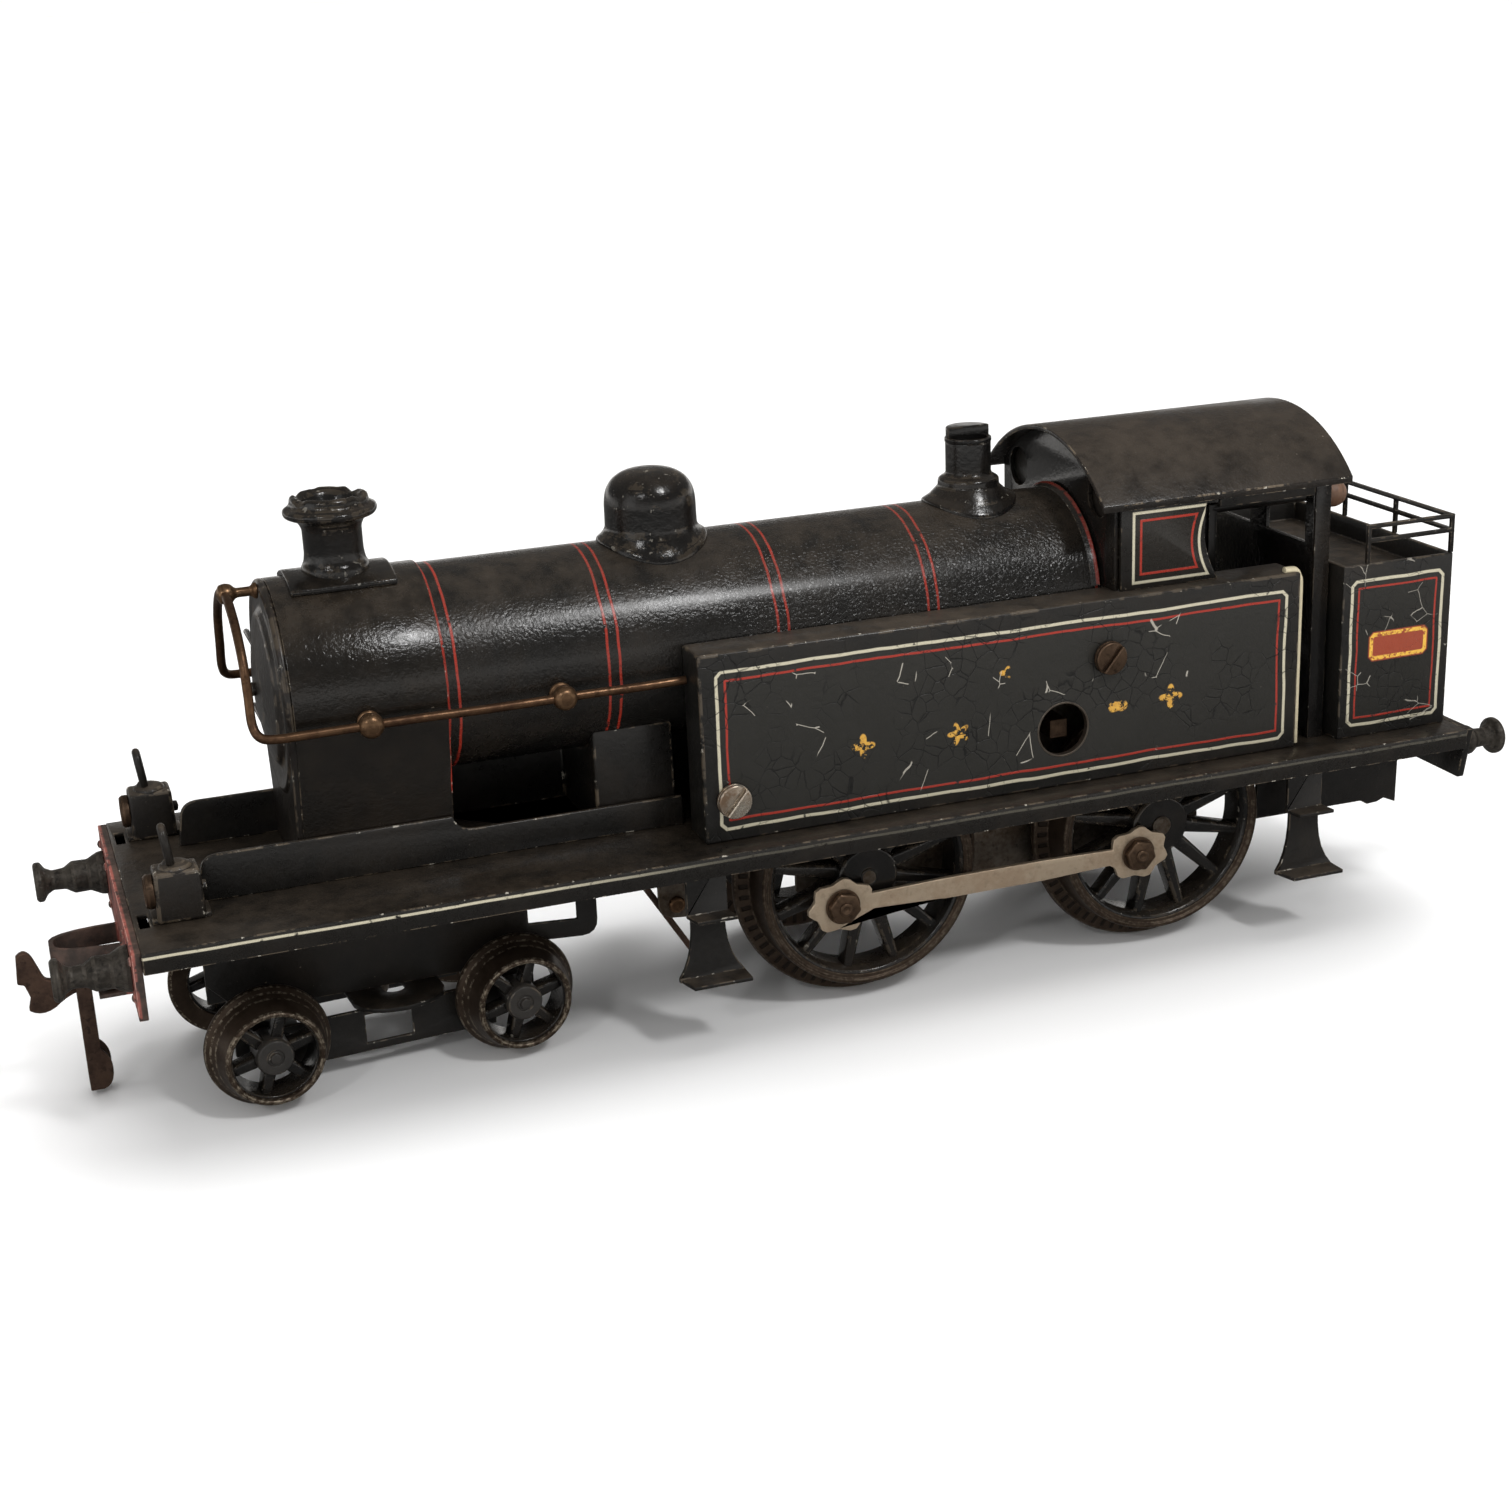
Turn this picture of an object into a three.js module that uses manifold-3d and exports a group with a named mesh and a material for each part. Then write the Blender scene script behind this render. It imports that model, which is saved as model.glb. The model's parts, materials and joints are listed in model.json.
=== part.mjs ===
// Clockwork tank locomotive for 45 mm track: tinplate body, spring motor and swivelling front bogie.
// Millimetres. +X is forward, +Y the left side, +Z up; the wheels stand on z = 0.
// Lengthways places are measured from the front driving axle; the last lines centre the engine on x = 0.
import * as THREE from 'three';
import { mergeVertices } from 'three/addons/utils/BufferGeometryUtils.js';
import Module from 'manifold-3d';

const wasm = await Module();
wasm.setup();

// Driving dimensions
const SHEET = 1.2;
const GAP = 0.3;
const ROUND = 20;
const FINE = 32;
const DECK = { front: 171.5, rear: -160.5, half: 43.8, top: 49.8, valance: 5.1 };
const BEAM = { thick: 2, frontBottom: 32.8, rearBottom: 35.9, frontHalf: 43, rearHalf: 43.6 };
const BUFFER = { y: 31, z: 41.9, length: 16.6, head: 4.8 };
const BOILER = { radius: 24, z: 91.4, front: 97.5, rear: -65.4 };
const SMOKEBOX = { radius: 24.7, front: 132 };
const TANK = { front: 42.7, rear: -114.5, inner: 24.6, outer: 35.9, top: 95.3 };
const CAB = {
  front: -66.8, panelRear: -92, rear: -125.2, half: 31.5, eave: 117.3, crown: 131, roofFront: -61.5,
};
const BUNKER = { front: -126.9, rear: -158.8, half: 35.9, top: 94.9, rail: 105.3 };
const DRIVER = { wheelbase: 80, z: 32.2, flange: 32.2, tread: 27.6, face: 30.4, back: 20.2, crank: 9.6 };
const CRANK_ANGLE = -32;
const QUARTER = 90;
const BOGIE = { x: 118, wheelbase: 59, z: 14.6, flange: 14.6, tread: 11.3, yaw: 4.5 };
const MOTOR = { half: 15.5, front: 14, rear: -98, bottom: 21, top: 76 };
const ARBOR = { x: -50.7, z: 62.7, keyhole: 6.8 };
const GEAR = { module: 1.25, great: 32, pinion: 8, middle: 26, axle: 14 };
const CHIMNEY_X = 115.8;
const DOME_X = 41;
const VALVE_X = -41.3;
const SADDLE = { half: 18.4, shoulder: 60.6, lean: 0.2244 };
const LAMP_Y = { left: 25.2, right: -31 };
const HOOK = { pin: 177, tip: 197.3, bow: 188.2 };
const LINK = { x: 183, z: 28.2, half: 3.4, bottom: 1.5 };

// Finishes
const finish = (color, roughness, metalness) =>
  new THREE.MeshStandardMaterial({ color, roughness, metalness });
const black = finish(0x1d1c1a, 0.42, 0.05);
const panelBlack = finish(0x242423, 0.5, 0.05);
const redBeam = finish(0x8d4034, 0.6, 0.05);
const castIron = finish(0x2b2a28, 0.5, 0.55);
const tyre = finish(0x4a3c30, 0.55, 0.7);
const nickel = finish(0xa08a6c, 0.4, 0.85);
const brass = finish(0x8a6e42, 0.38, 0.9);
const bronze = finish(0x6d503c, 0.42, 0.85);
const steel = finish(0x5c5751, 0.4, 0.9);
const rust = finish(0x4a3326, 0.65, 0.6);
const springSteel = finish(0x3d4148, 0.35, 0.9);

const engine = new THREE.Group();
const bogie = new THREE.Group();

// ---------------------------------------------------------------- solids

function solid(source) {
  const bare = source.index ? source.toNonIndexed() : source.clone();
  for (const attribute of ['normal', 'uv', 'color']) {
    bare.deleteAttribute(attribute);
  }
  const merged = mergeVertices(bare, 1e-4);
  const index = merged.index.array;
  const triangles = [];
  for (let i = 0; i < index.length; i += 3) {
    const [a, b, c] = [index[i], index[i + 1], index[i + 2]];
    if (a !== b && b !== c && c !== a) {
      triangles.push(a, b, c);
    }
  }
  const vertProperties = new Float32Array(merged.attributes.position.array);
  const triVerts = new Uint32Array(triangles);
  return new wasm.Manifold(new wasm.Mesh({ numProp: 3, vertProperties, triVerts }));
}

function geometryOf(shape) {
  const { vertProperties, triVerts } = shape.getMesh();
  const geometry = new THREE.BufferGeometry();
  geometry.setAttribute('position', new THREE.BufferAttribute(new Float32Array(vertProperties), 3));
  geometry.setIndex(new THREE.BufferAttribute(new Uint32Array(triVerts), 1));
  geometry.computeVertexNormals();
  return geometry;
}

function add(name, shape, material, group = engine) {
  const mesh = new THREE.Mesh(geometryOf(shape), material);
  mesh.name = name;
  group.add(mesh);
  return mesh;
}

const join = (first, ...rest) => rest.reduce((sum, shape) => sum.add(shape), first);
const cut = (base, ...tools) => tools.reduce((rest, tool) => rest.subtract(tool), base);

function box(x0, x1, y0, y1, z0, z1) {
  const geometry = new THREE.BoxGeometry(x1 - x0, y1 - y0, z1 - z0);
  geometry.translate((x0 + x1) / 2, (y0 + y1) / 2, (z0 + z1) / 2);
  return solid(geometry);
}

// A turned solid: the profile is [radius, distance along the axis] and runs in the direction of the axis.
function turned(profile, axis, at, segments = ROUND) {
  const points = profile.map(([r, h]) => new THREE.Vector2(r, h));
  const geometry = new THREE.LatheGeometry(points, segments);
  if (axis === 'z') {
    geometry.rotateX(Math.PI / 2);
  }
  if (axis === 'x') {
    geometry.rotateZ(-Math.PI / 2);
  }
  geometry.translate(...at);
  return solid(geometry);
}

const rod = (radius, from, to, axis, at, segments = ROUND) =>
  turned([[0, from], [radius, from], [radius, to], [0, to]], axis, at, segments);

function ring(inner, outer, from, to, axis, at, segments = ROUND) {
  const profile = [[inner, from], [outer, from], [outer, to], [inner, to], [inner, from]];
  return turned(profile, axis, at, segments);
}

function outline(points) {
  const shape = new THREE.Shape();
  points.forEach(([a, b], i) => (i ? shape.lineTo(a, b) : shape.moveTo(a, b)));
  shape.closePath();
  return shape;
}

// A flat plate in the X-Z plane between two values of y.
function plateXZ(shape, y0, y1, curveSegments = 10) {
  const geometry = new THREE.ExtrudeGeometry(shape, { depth: y1 - y0, bevelEnabled: false, curveSegments });
  geometry.rotateX(Math.PI / 2);
  geometry.translate(0, y1, 0);
  return solid(geometry);
}

// A section in the Y-Z plane swept between two values of x.
function plateYZ(shape, x0, x1, curveSegments = 12) {
  const geometry = new THREE.ExtrudeGeometry(shape, { depth: x1 - x0, bevelEnabled: false, curveSegments });
  geometry.applyMatrix4(new THREE.Matrix4().set(0, 0, 1, 0, 1, 0, 0, 0, 0, 1, 0, 0, 0, 0, 0, 1));
  geometry.translate(x0, 0, 0);
  return solid(geometry);
}

function plateXY(shape, z0, z1, curveSegments = 10) {
  const geometry = new THREE.ExtrudeGeometry(shape, { depth: z1 - z0, bevelEnabled: false, curveSegments });
  geometry.translate(0, 0, z0);
  return solid(geometry);
}

function wire(points, radius, steps, sides = 8) {
  const curve = new THREE.CatmullRomCurve3(points.map((p) => new THREE.Vector3(...p)), false, 'centripetal');
  const section = new THREE.Shape();
  section.absarc(0, 0, radius, 0, Math.PI * 2, false);
  const options = { steps, extrudePath: curve, curveSegments: sides, bevelEnabled: false };
  return solid(new THREE.ExtrudeGeometry(section, options));
}

// A copy of a solid moved by a matrix; a mirrored copy has its faces turned round again.
function placed(shape, matrix) {
  const geometry = geometryOf(shape).applyMatrix4(matrix);
  if (matrix.determinant() < 0) {
    geometry.index.array.reverse();
  }
  return solid(geometry);
}

const { degToRad } = THREE.MathUtils;
const shifted = (shape, x, y, z) => placed(shape, new THREE.Matrix4().makeTranslation(x, y, z));
const spunY = (shape, degrees) => placed(shape, new THREE.Matrix4().makeRotationY(degToRad(degrees)));
const spunZ = (shape, degrees) => placed(shape, new THREE.Matrix4().makeRotationZ(degToRad(degrees)));

const sides = { left: 1, right: -1 };
const mirrorY = (shape, side) => (side > 0 ? shape : placed(shape, new THREE.Matrix4().makeScale(1, -1, 1)));

// ---------------------------------------------------------------- footplate and ends

function footplate() {
  const { front, rear, half, top, valance } = DECK;
  const slab = box(rear, front, -half, half, top - valance, top);
  const hollow = box(rear + 1, front - 1, -half + SHEET, half - SHEET, top - valance - 1, top - SHEET);
  const motorWell = box(MOTOR.rear - 1, MOTOR.front + 1, -18, 18, top - 3, top + 1);
  const lampSlots = Object.values(LAMP_Y).map((y) =>
    box(front - 3.4, front - 1.2, y - 4, y + 4, top - 3, top + 1));
  const wheelArches = [];
  for (const x of [0, -DRIVER.wheelbase]) {
    for (const y of [1, -1]) {
      const low = Math.min(y * 19.6, y * 34.9);
      wheelArches.push(rod(DRIVER.flange + 1.6, low, low + 15.3, 'y', [x, 0, DRIVER.z]));
    }
  }
  return cut(slab, hollow, motorWell, ...lampSlots, ...wheelArches);
}

function bufferBeam(x0, x1, half, bottom) {
  const shape = outline([
    [-half, DECK.top], [-half + 3, bottom], [half - 3, bottom], [half, DECK.top],
  ]);
  return plateYZ(shape, x0, x1);
}

const bufferProfile = [
  [0, 0], [5.2, 0], [4.9, 1.6], [3.7, 4.4], [3.9, 7.6], [2.5, 9.6], [2.5, 12.8], [BUFFER.head, 15],
  [BUFFER.head, BUFFER.length], [0, BUFFER.length],
];

function buffer(face, y) {
  const forward = turned(bufferProfile, 'x', [0, 0, 0], 14);
  const beamFace = face > 0 ? DECK.front + BEAM.thick : DECK.rear - BEAM.thick;
  return shifted(face > 0 ? forward : spunZ(forward, 180), beamFace, y, BUFFER.z);
}

// The front beam carries a bow of strip and the two lugs in which the coupling hook turns.
function frontBeam() {
  const face = DECK.front + BEAM.thick;
  const beam = bufferBeam(DECK.front, face, BEAM.frontHalf, BEAM.frontBottom);
  const lugs = [[32.6, 33.6], [23.9, 24.9]].map(([z0, z1]) =>
    box(face - 0.5, HOOK.pin + 3, -3.4, 3.4, z0, z1));
  const bow = new THREE.Shape();
  bow.moveTo(face - 0.5, 6);
  bow.quadraticCurveTo(HOOK.bow + 1, 6, HOOK.bow, 0);
  bow.quadraticCurveTo(HOOK.bow + 1, -6, face - 0.5, -6);
  bow.lineTo(face - 0.5, -7);
  bow.quadraticCurveTo(HOOK.bow + 3, -7.4, HOOK.bow + 1, 0);
  bow.quadraticCurveTo(HOOK.bow + 3, 7.4, face - 0.5, 7);
  bow.closePath();
  const strip = plateXY(bow, 33.4, 38.2, 6);
  const bore = rod(1.5, 20, 35, 'z', [HOOK.pin, 0, 0], 12);
  const toBeam = box(face - 1.2, face, -3.4, 3.4, 23.9, 33.6);
  return cut(join(beam, toBeam, ...lugs, strip), bore);
}

add('footplate', footplate(), black);
add('front_buffer_beam', frontBeam(), redBeam);
add('rear_buffer_beam',
  bufferBeam(DECK.rear - BEAM.thick, DECK.rear, BEAM.rearHalf, BEAM.rearBottom), black);
for (const [side, sign] of Object.entries(sides)) {
  add(`front_buffer_${side}`, buffer(1, sign * BUFFER.y), castIron);
  add(`rear_buffer_${side}`, buffer(-1, sign * BUFFER.y), castIron);
}

// ---------------------------------------------------------------- front deck

// A lamp: a box on the deck, a round lens boss in front and a standing wire loop as its handle.
function lamp(y) {
  const base = DECK.top;
  const body = box(155.8, 166.6, y - 4.4, y + 4.4, base, base + 12.4);
  const foot = box(154.6, 167.6, y - 3.8, y + 3.8, base, base + 1.4);
  const lens = rod(3.7, 166.2, 168.6, 'x', [0, y, base + 7.4], 14);
  const loop = ring(1.7, 2.9, y - 0.7, y + 0.7, 'y', [162.6, 0, base + 18.6], 10);
  const stem = box(161.9, 163.3, y - 0.7, y + 0.7, base + 12, base + 16.6);
  return join(body, foot, lens, stem, loop);
}

// Low side plate of the front deck, with a sloped nose and a step down behind the saddle.
function deckFrame() {
  const base = DECK.top;
  const shape = new THREE.Shape();
  shape.moveTo(156.5, base);
  shape.lineTo(155.3, base + 8);
  shape.quadraticCurveTo(154.6, base + 10.6, 151.5, base + 10.8);
  shape.lineTo(98, base + 10.8);
  shape.quadraticCurveTo(97.2, base + 7.2, 93, base + 7.2);
  shape.lineTo(TANK.front + GAP, base + 7.2);
  shape.lineTo(TANK.front + GAP, base);
  shape.closePath();
  return plateXZ(shape, 18.6, 18.6 + SHEET, 5);
}

// Smokebox saddle: upright inside the deck frames, then leaning out to meet the smokebox side at a tangent.
function saddle() {
  const { half, shoulder, lean } = SADDLE;
  const top = BOILER.z - 8;
  const base = DECK.top;
  const wide = half + (top - shoulder) * lean;
  const section = outline([
    [half, base], [half, shoulder], [wide, top], [-wide, top], [-half, shoulder], [-half, base],
  ]);
  const body = spunZ(plateXZ(section, -134.6, -98.2), 90);
  const hollow = box(99.4, 133.4, -17.2, 17.2, base - 1, base + 9);
  const seat = rod(SMOKEBOX.radius + 0.02, 90, 140, 'x', [0, 0, BOILER.z], FINE);
  return cut(body, seat, hollow);
}

for (const [side, sign] of Object.entries(sides)) {
  add(`front_lamp_${side}`, lamp(LAMP_Y[side]), black);
  add(`deck_frame_${side}`, mirrorY(deckFrame(), sign), black);
}
add('smokebox_saddle', saddle(), black);

// ---------------------------------------------------------------- boiler

function boilerBarrel() {
  const { radius, z, front, rear } = BOILER;
  const tube = ring(radius - SHEET, radius, rear, front, 'x', [0, 0, z], FINE);
  const motorSlot = box(rear - 1, MOTOR.front + 9, -MOTOR.half - 2.2, MOTOR.half + 2.2, 50, z - 8);
  return cut(tube, motorSlot);
}

function smokeboxWrapper() {
  const { radius, front } = SMOKEBOX;
  return ring(radius - 1.9, radius, BOILER.front + 0.02, front, 'x', [0, 0, BOILER.z], FINE);
}

// Pressed front: a rolled rim, a dished ring and a crowned door.
function smokeboxFront() {
  const x = SMOKEBOX.front + 0.02;
  const profile = [
    [0, x], [24.7, x], [24.7, x + 1.2], [23.4, x + 2], [21, x + 1.2], [18.4, x + 1.2],
    [16.8, x + 2.6], [8, x + 4.4], [0, x + 4.8],
  ];
  return turned(profile, 'x', [0, 0, BOILER.z], FINE);
}

// Solids that sit on the boiler's round top are cut to its curve.
const boilerCurve = (radius, clearance = 0.02) =>
  rod(radius + clearance, -120, 160, 'x', [0, 0, BOILER.z], FINE);

function chimney() {
  const z = BOILER.z + SMOKEBOX.radius;
  const flange = box(CHIMNEY_X - 12.3, CHIMNEY_X + 12.3, -10.5, 10.5, z - 6, z + 1.3);
  const sleeve = rod(SMOKEBOX.radius + 1.3, CHIMNEY_X - 13, CHIMNEY_X + 13, 'x', [0, 0, BOILER.z], FINE);
  const barrel = turned([
    [0, z - 6], [7.4, z - 6], [7.4, z + 2.4], [6.8, z + 4], [6.8, z + 11.4], [10.4, z + 14],
    [10.4, z + 15.6], [8.8, z + 16.4], [8.6, z + 18], [7, z + 18], [5.2, z + 15], [5.2, z + 7], [0, z + 7],
  ], 'z', [CHIMNEY_X, 0, 0], 20);
  return join(flange.intersect(sleeve), barrel).subtract(boilerCurve(SMOKEBOX.radius));
}

function dome() {
  const z = BOILER.z + BOILER.radius;
  const body = turned([
    [0, z - 6], [13, z - 6], [13, z - 0.4], [10.9, z + 1.7], [10.8, z + 9.4],
    [9.6, z + 13], [6.6, z + 15.6], [0, z + 16.6],
  ], 'z', [DOME_X, 0, 0], 24);
  return body.subtract(boilerCurve(BOILER.radius));
}

function safetyValve() {
  const z = BOILER.z + BOILER.radius;
  const body = turned([
    [0, z - 6], [11.6, z - 6], [11.6, z - 0.2], [8, z + 3.2], [6.8, z + 5.8],
    [5.7, z + 6.4], [5.7, z + 16.4], [6.1, z + 18], [0, z + 18],
  ], 'z', [VALVE_X, 0, 0], 20);
  const notch = box(VALVE_X - 8, VALVE_X + 8, 0.4, 8, z + 14.6, z + 20);
  return cut(body, boilerCurve(BOILER.radius), notch);
}

// The box behind the saddle, with the upright web that ties it to the saddle under the boiler.
function boilerBox() {
  const body = box(44, 63.5, -17.8, 17.8, DECK.top, BOILER.z - 10);
  const hollow = box(45.2, 62.3, -16.6, 16.6, DECK.top - 1, DECK.top + 8);
  const web = box(63, 97.4, -12.2, -11, DECK.top, BOILER.z - 10);
  return cut(join(body, web), hollow, boilerCurve(BOILER.radius));
}

// One bent wire runs from the tank on one side, round the smokebox front, to the tank on the other side,
// and carries five turned knobs that stand on the boiler.
function handrail() {
  const y = 27.6;
  const z = BOILER.z - 3.8;
  const nose = 141;
  const top = BOILER.z + SMOKEBOX.radius - 2.6;
  const half = [];
  for (const x of [TANK.front + GAP + 0.1, 71.8, 115.8, 136.5]) {
    half.push([x, y, z]);
  }
  half.push([139.6, y - 0.5, z + 0.4], [nose, y - 3, z + 2.6], [nose, 23.2, z + 8]);
  for (const degrees of [35, 55, 75]) {
    const angle = degToRad(degrees);
    half.push([nose, 25.4 * Math.cos(angle), BOILER.z + (top - BOILER.z) * Math.sin(angle)]);
  }
  const other = half.map(([x, b, c]) => [x, -b, c]).reverse();
  const rail = wire([...half, [nose, 0, top + 0.6], ...other], 1.05, 38, 3);
  const knobs = [];
  for (const x of [71.8, 115.8]) {
    for (const sign of [1, -1]) {
      const radius = x > BOILER.front ? SMOKEBOX.radius : BOILER.radius;
      const foot = Math.sqrt(radius ** 2 - 3.8 ** 2) + 0.35;
      const knob = turned([
        [0, foot], [2.6, foot], [1.5, foot + 1.5], [2.9, y - 0.4], [2.5, y + 1.6], [0, y + 2.7],
      ], 'y', [0, 0, 0], 10);
      knobs.push(shifted(sign > 0 ? knob : spunZ(knob, 180), x, 0, z));
    }
  }
  const topKnob = turned([
    [0, SMOKEBOX.front + 2.6], [1.6, SMOKEBOX.front + 2.6], [1.3, nose - 2], [2.4, nose - 0.6],
    [2.1, nose + 1.6], [0, nose + 2.3],
  ], 'x', [0, 0, top + 0.6], 10);
  return join(rail, ...knobs, topKnob);
}

add('boiler_barrel', boilerBarrel(), black);
add('smokebox_wrapper', smokeboxWrapper(), black);
add('smokebox_front', smokeboxFront(), black);
add('chimney', chimney(), black);
add('dome', dome(), black);
add('safety_valve', safetyValve(), black);
add('boiler_box', boilerBox(), black);
add('handrail', handrail(), brass);

// ---------------------------------------------------------------- tanks, cab and bunker

// Folded sheet tank, open to the motor side and below, with a round hole for the winding key.
function sideTank() {
  const { front, rear, inner, outer, top } = TANK;
  const base = DECK.top;
  const shell = box(rear, front, inner, outer, base, top);
  const hollow = box(rear + SHEET, front - SHEET, inner - 1, outer - SHEET, base - 1, top - SHEET);
  const keyhole = rod(ARBOR.keyhole, outer - 3, outer + 3, 'y', [ARBOR.x + 1.5, 0, ARBOR.z + 1.6], 24);
  const screwHoles = [[35.8, 60], [-61.2, 81]].map(([x, z]) =>
    rod(1.9, outer - 3, outer + 3, 'y', [x, 0, z], 12));
  return cut(shell, hollow, keyhole, ...screwHoles);
}

function tankScrew(x, z) {
  const y = TANK.outer;
  const body = turned([
    [0, y - 6], [1.55, y - 6], [1.55, y + GAP], [4.1, y + GAP], [4.1, y + 1.5], [3.3, y + 2.4], [0, y + 2.4],
  ], 'y', [x, 0, z], 14);
  const slot = shifted(spunY(box(-5, 5, 1.5, 4, -0.45, 0.45), 40), x, y, z);
  return body.subtract(slot);
}

for (const [side, sign] of Object.entries(sides)) {
  add(`side_tank_${side}`, mirrorY(sideTank(), sign), panelBlack);
  add(`front_tank_screw_${side}`, mirrorY(tankScrew(35.8, 60), sign), nickel);
  add(`rear_tank_screw_${side}`, mirrorY(tankScrew(-61.2, 81), sign), bronze);
}

const ROOF = (() => {
  const rise = CAB.crown - CAB.eave;
  const half = CAB.half + 0.9;
  const radius = (half ** 2 + rise ** 2) / (2 * rise);
  const z = CAB.crown - radius;
  return { half, radius, z, wallTop: z + Math.sqrt((radius - SHEET) ** 2 - CAB.half ** 2) - 0.1 };
})();

// The arched sheet: cab half width below, the curve of the roof above.
function cabSheet(half, bottom) {
  const inner = ROOF.radius - SHEET - GAP / 3;
  const shoulder = Math.asin(half / inner);
  const shape = new THREE.Shape();
  shape.moveTo(-half, bottom);
  shape.lineTo(half, bottom);
  shape.lineTo(half, ROOF.z + inner * Math.cos(shoulder));
  shape.absarc(0, ROOF.z, inner, Math.PI / 2 - shoulder, Math.PI / 2 + shoulder, false);
  shape.closePath();
  return shape;
}

// Front sheet with a round window each side of the boiler and an open lower half for the motor.
function cabFront() {
  const shape = cabSheet(CAB.half - SHEET - 0.02, TANK.top + 0.02);
  const sheet = plateYZ(shape, CAB.front, CAB.front + SHEET, 10);
  const legBottom = DRIVER.z + DRIVER.flange + 2.6;
  const legHalf = TANK.inner - 0.3;
  const wellHalf = MOTOR.half + 2.2;
  const legs = box(CAB.front, CAB.front + SHEET, -legHalf, legHalf, legBottom, TANK.top + 1);
  const well = box(CAB.front - 1, CAB.front + 3, -wellHalf, wellHalf, DECK.top - 1, BOILER.z - 8);
  const windows = [1, -1].map((s) => rod(5, CAB.front - 2, CAB.front + 3, 'x', [0, s * 21.6, 116.8], 16));
  return cut(join(sheet, legs), well, ...windows);
}

function cabSide() {
  const { front, panelRear, half } = CAB;
  const bottom = TANK.top + 0.02;
  const top = ROOF.wallTop;
  const shape = new THREE.Shape();
  shape.moveTo(front, bottom);
  shape.lineTo(front, top);
  shape.lineTo(panelRear + 1.4, top);
  shape.quadraticCurveTo(panelRear + 4.6, (bottom + top) / 2, panelRear - 1.6, bottom);
  shape.closePath();
  return plateXZ(shape, half - SHEET, half, 8);
}

function cabRoof() {
  const { half, radius, z } = ROOF;
  const edge = Math.asin(half / radius);
  const shape = new THREE.Shape();
  shape.absarc(0, z, radius, Math.PI / 2 - edge, Math.PI / 2 + edge, false);
  shape.absarc(0, z, radius - SHEET, Math.PI / 2 + edge, Math.PI / 2 - edge, true);
  shape.closePath();
  return plateYZ(shape, CAB.rear - 5.4, CAB.roofFront, 14);
}

// Rear sheet with its two side posts folded forward; the control rod passes through one of its openings.
function cabBack() {
  const shape = cabSheet(CAB.half, DECK.top);
  const sheet = plateYZ(shape, CAB.rear, CAB.rear + SHEET, 10);
  const posts = [1, -1].map((s) => {
    const y = s * (CAB.half - SHEET / 2);
    return box(CAB.rear + 0.1, CAB.rear + 4.4, y - SHEET / 2, y + SHEET / 2, DECK.top, ROOF.wallTop);
  });
  const windows = [[4, 22], [-22, -4]].map(([a, b]) => box(CAB.rear - 1, CAB.rear + 3, a, b, 99, 112));
  return cut(join(sheet, ...posts), ...windows);
}

function bunker() {
  const { front, rear, half, top } = BUNKER;
  const body = box(rear, front, -half, half, DECK.top, top);
  const coalSpace = box(rear + SHEET, front - SHEET, -half + SHEET, half - SHEET, top - 5.5, top + 1);
  const below = box(rear + SHEET, front - SHEET, -half + SHEET, half - SHEET, DECK.top - 1, top - 6.8);
  return cut(body, coalSpace, below);
}

// Three flat bars round the back and both sides of the bunker, on six posts.
function coalRails() {
  const { front, rear, half, top, rail } = BUNKER;
  const x0 = rear;
  const x1 = front - 6.4;
  const bar = 1.1;
  const parts = [];
  for (const z of [rail - 1, rail - 4.6]) {
    const outer = box(x0, x1, -half, half, z - bar / 2, z + bar / 2);
    parts.push(outer.subtract(box(x0 + bar, x1 + 1, -half + bar, half - bar, z - 2, z + 2)));
  }
  const posts = [
    [x0, half], [x1 - bar, half], [x0, -half + bar], [x1 - bar, -half + bar], [x0, 12], [x0, -12 + bar],
  ];
  for (const [x, y] of posts) {
    parts.push(box(x, x + bar, y - bar, y, top + 0.02, rail - 0.5));
  }
  return join(...parts);
}

function controlRod() {
  const y = 11;
  const z = 105.5;
  const front = rod(1.3, -135.4, -103, 'x', [0, y, z], 8);
  const knob = turned([
    [0, -142.4], [2.2, -142], [3.4, -139.6], [3.2, -136.6], [1.6, -134.8], [0, -134.8],
  ], 'x', [0, y, z], 12);
  const leg = box(-104.6, -102.2, y - 1.2, y + 1.2, 70, z + 1.2);
  return join(front, knob, leg);
}

add('cab_front_sheet', cabFront(), black);
add('cab_roof', cabRoof(), black);
add('cab_back_sheet', cabBack(), black);
for (const [side, sign] of Object.entries(sides)) {
  add(`cab_side_${side}`, mirrorY(cabSide(), sign), black);
}
add('bunker', bunker(), panelBlack);
add('coal_rails', coalRails(), black);
add('control_rod', controlRod(), bronze);

// ---------------------------------------------------------------- clockwork motor

// The outer plates carry the axles; four riveted pillars stand on the left one.
function motorPlate() {
  const { front, rear, bottom, top } = MOTOR;
  const shape = outline([
    [rear, bottom + 6], [rear + 6, bottom], [front - 5, bottom], [front, bottom + 5], [front, 52],
    [front - 20, top], [rear + 14, top], [rear, 58],
  ]);
  const plate = plateXZ(shape, MOTOR.half, MOTOR.half + SHEET);
  const bores = [0, -DRIVER.wheelbase].map((x) => rod(3.1, 10, 20, 'y', [x, 0, DRIVER.z], 14));
  const arborBore = rod(3, 10, 20, 'y', [ARBOR.x, 0, ARBOR.z], 14);
  const middleBore = rod(1.9, 10, 20, 'y', [MIDDLE.x, 0, MIDDLE.z], 12);
  return cut(plate, ...bores, arborBore, middleBore);
}

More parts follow.
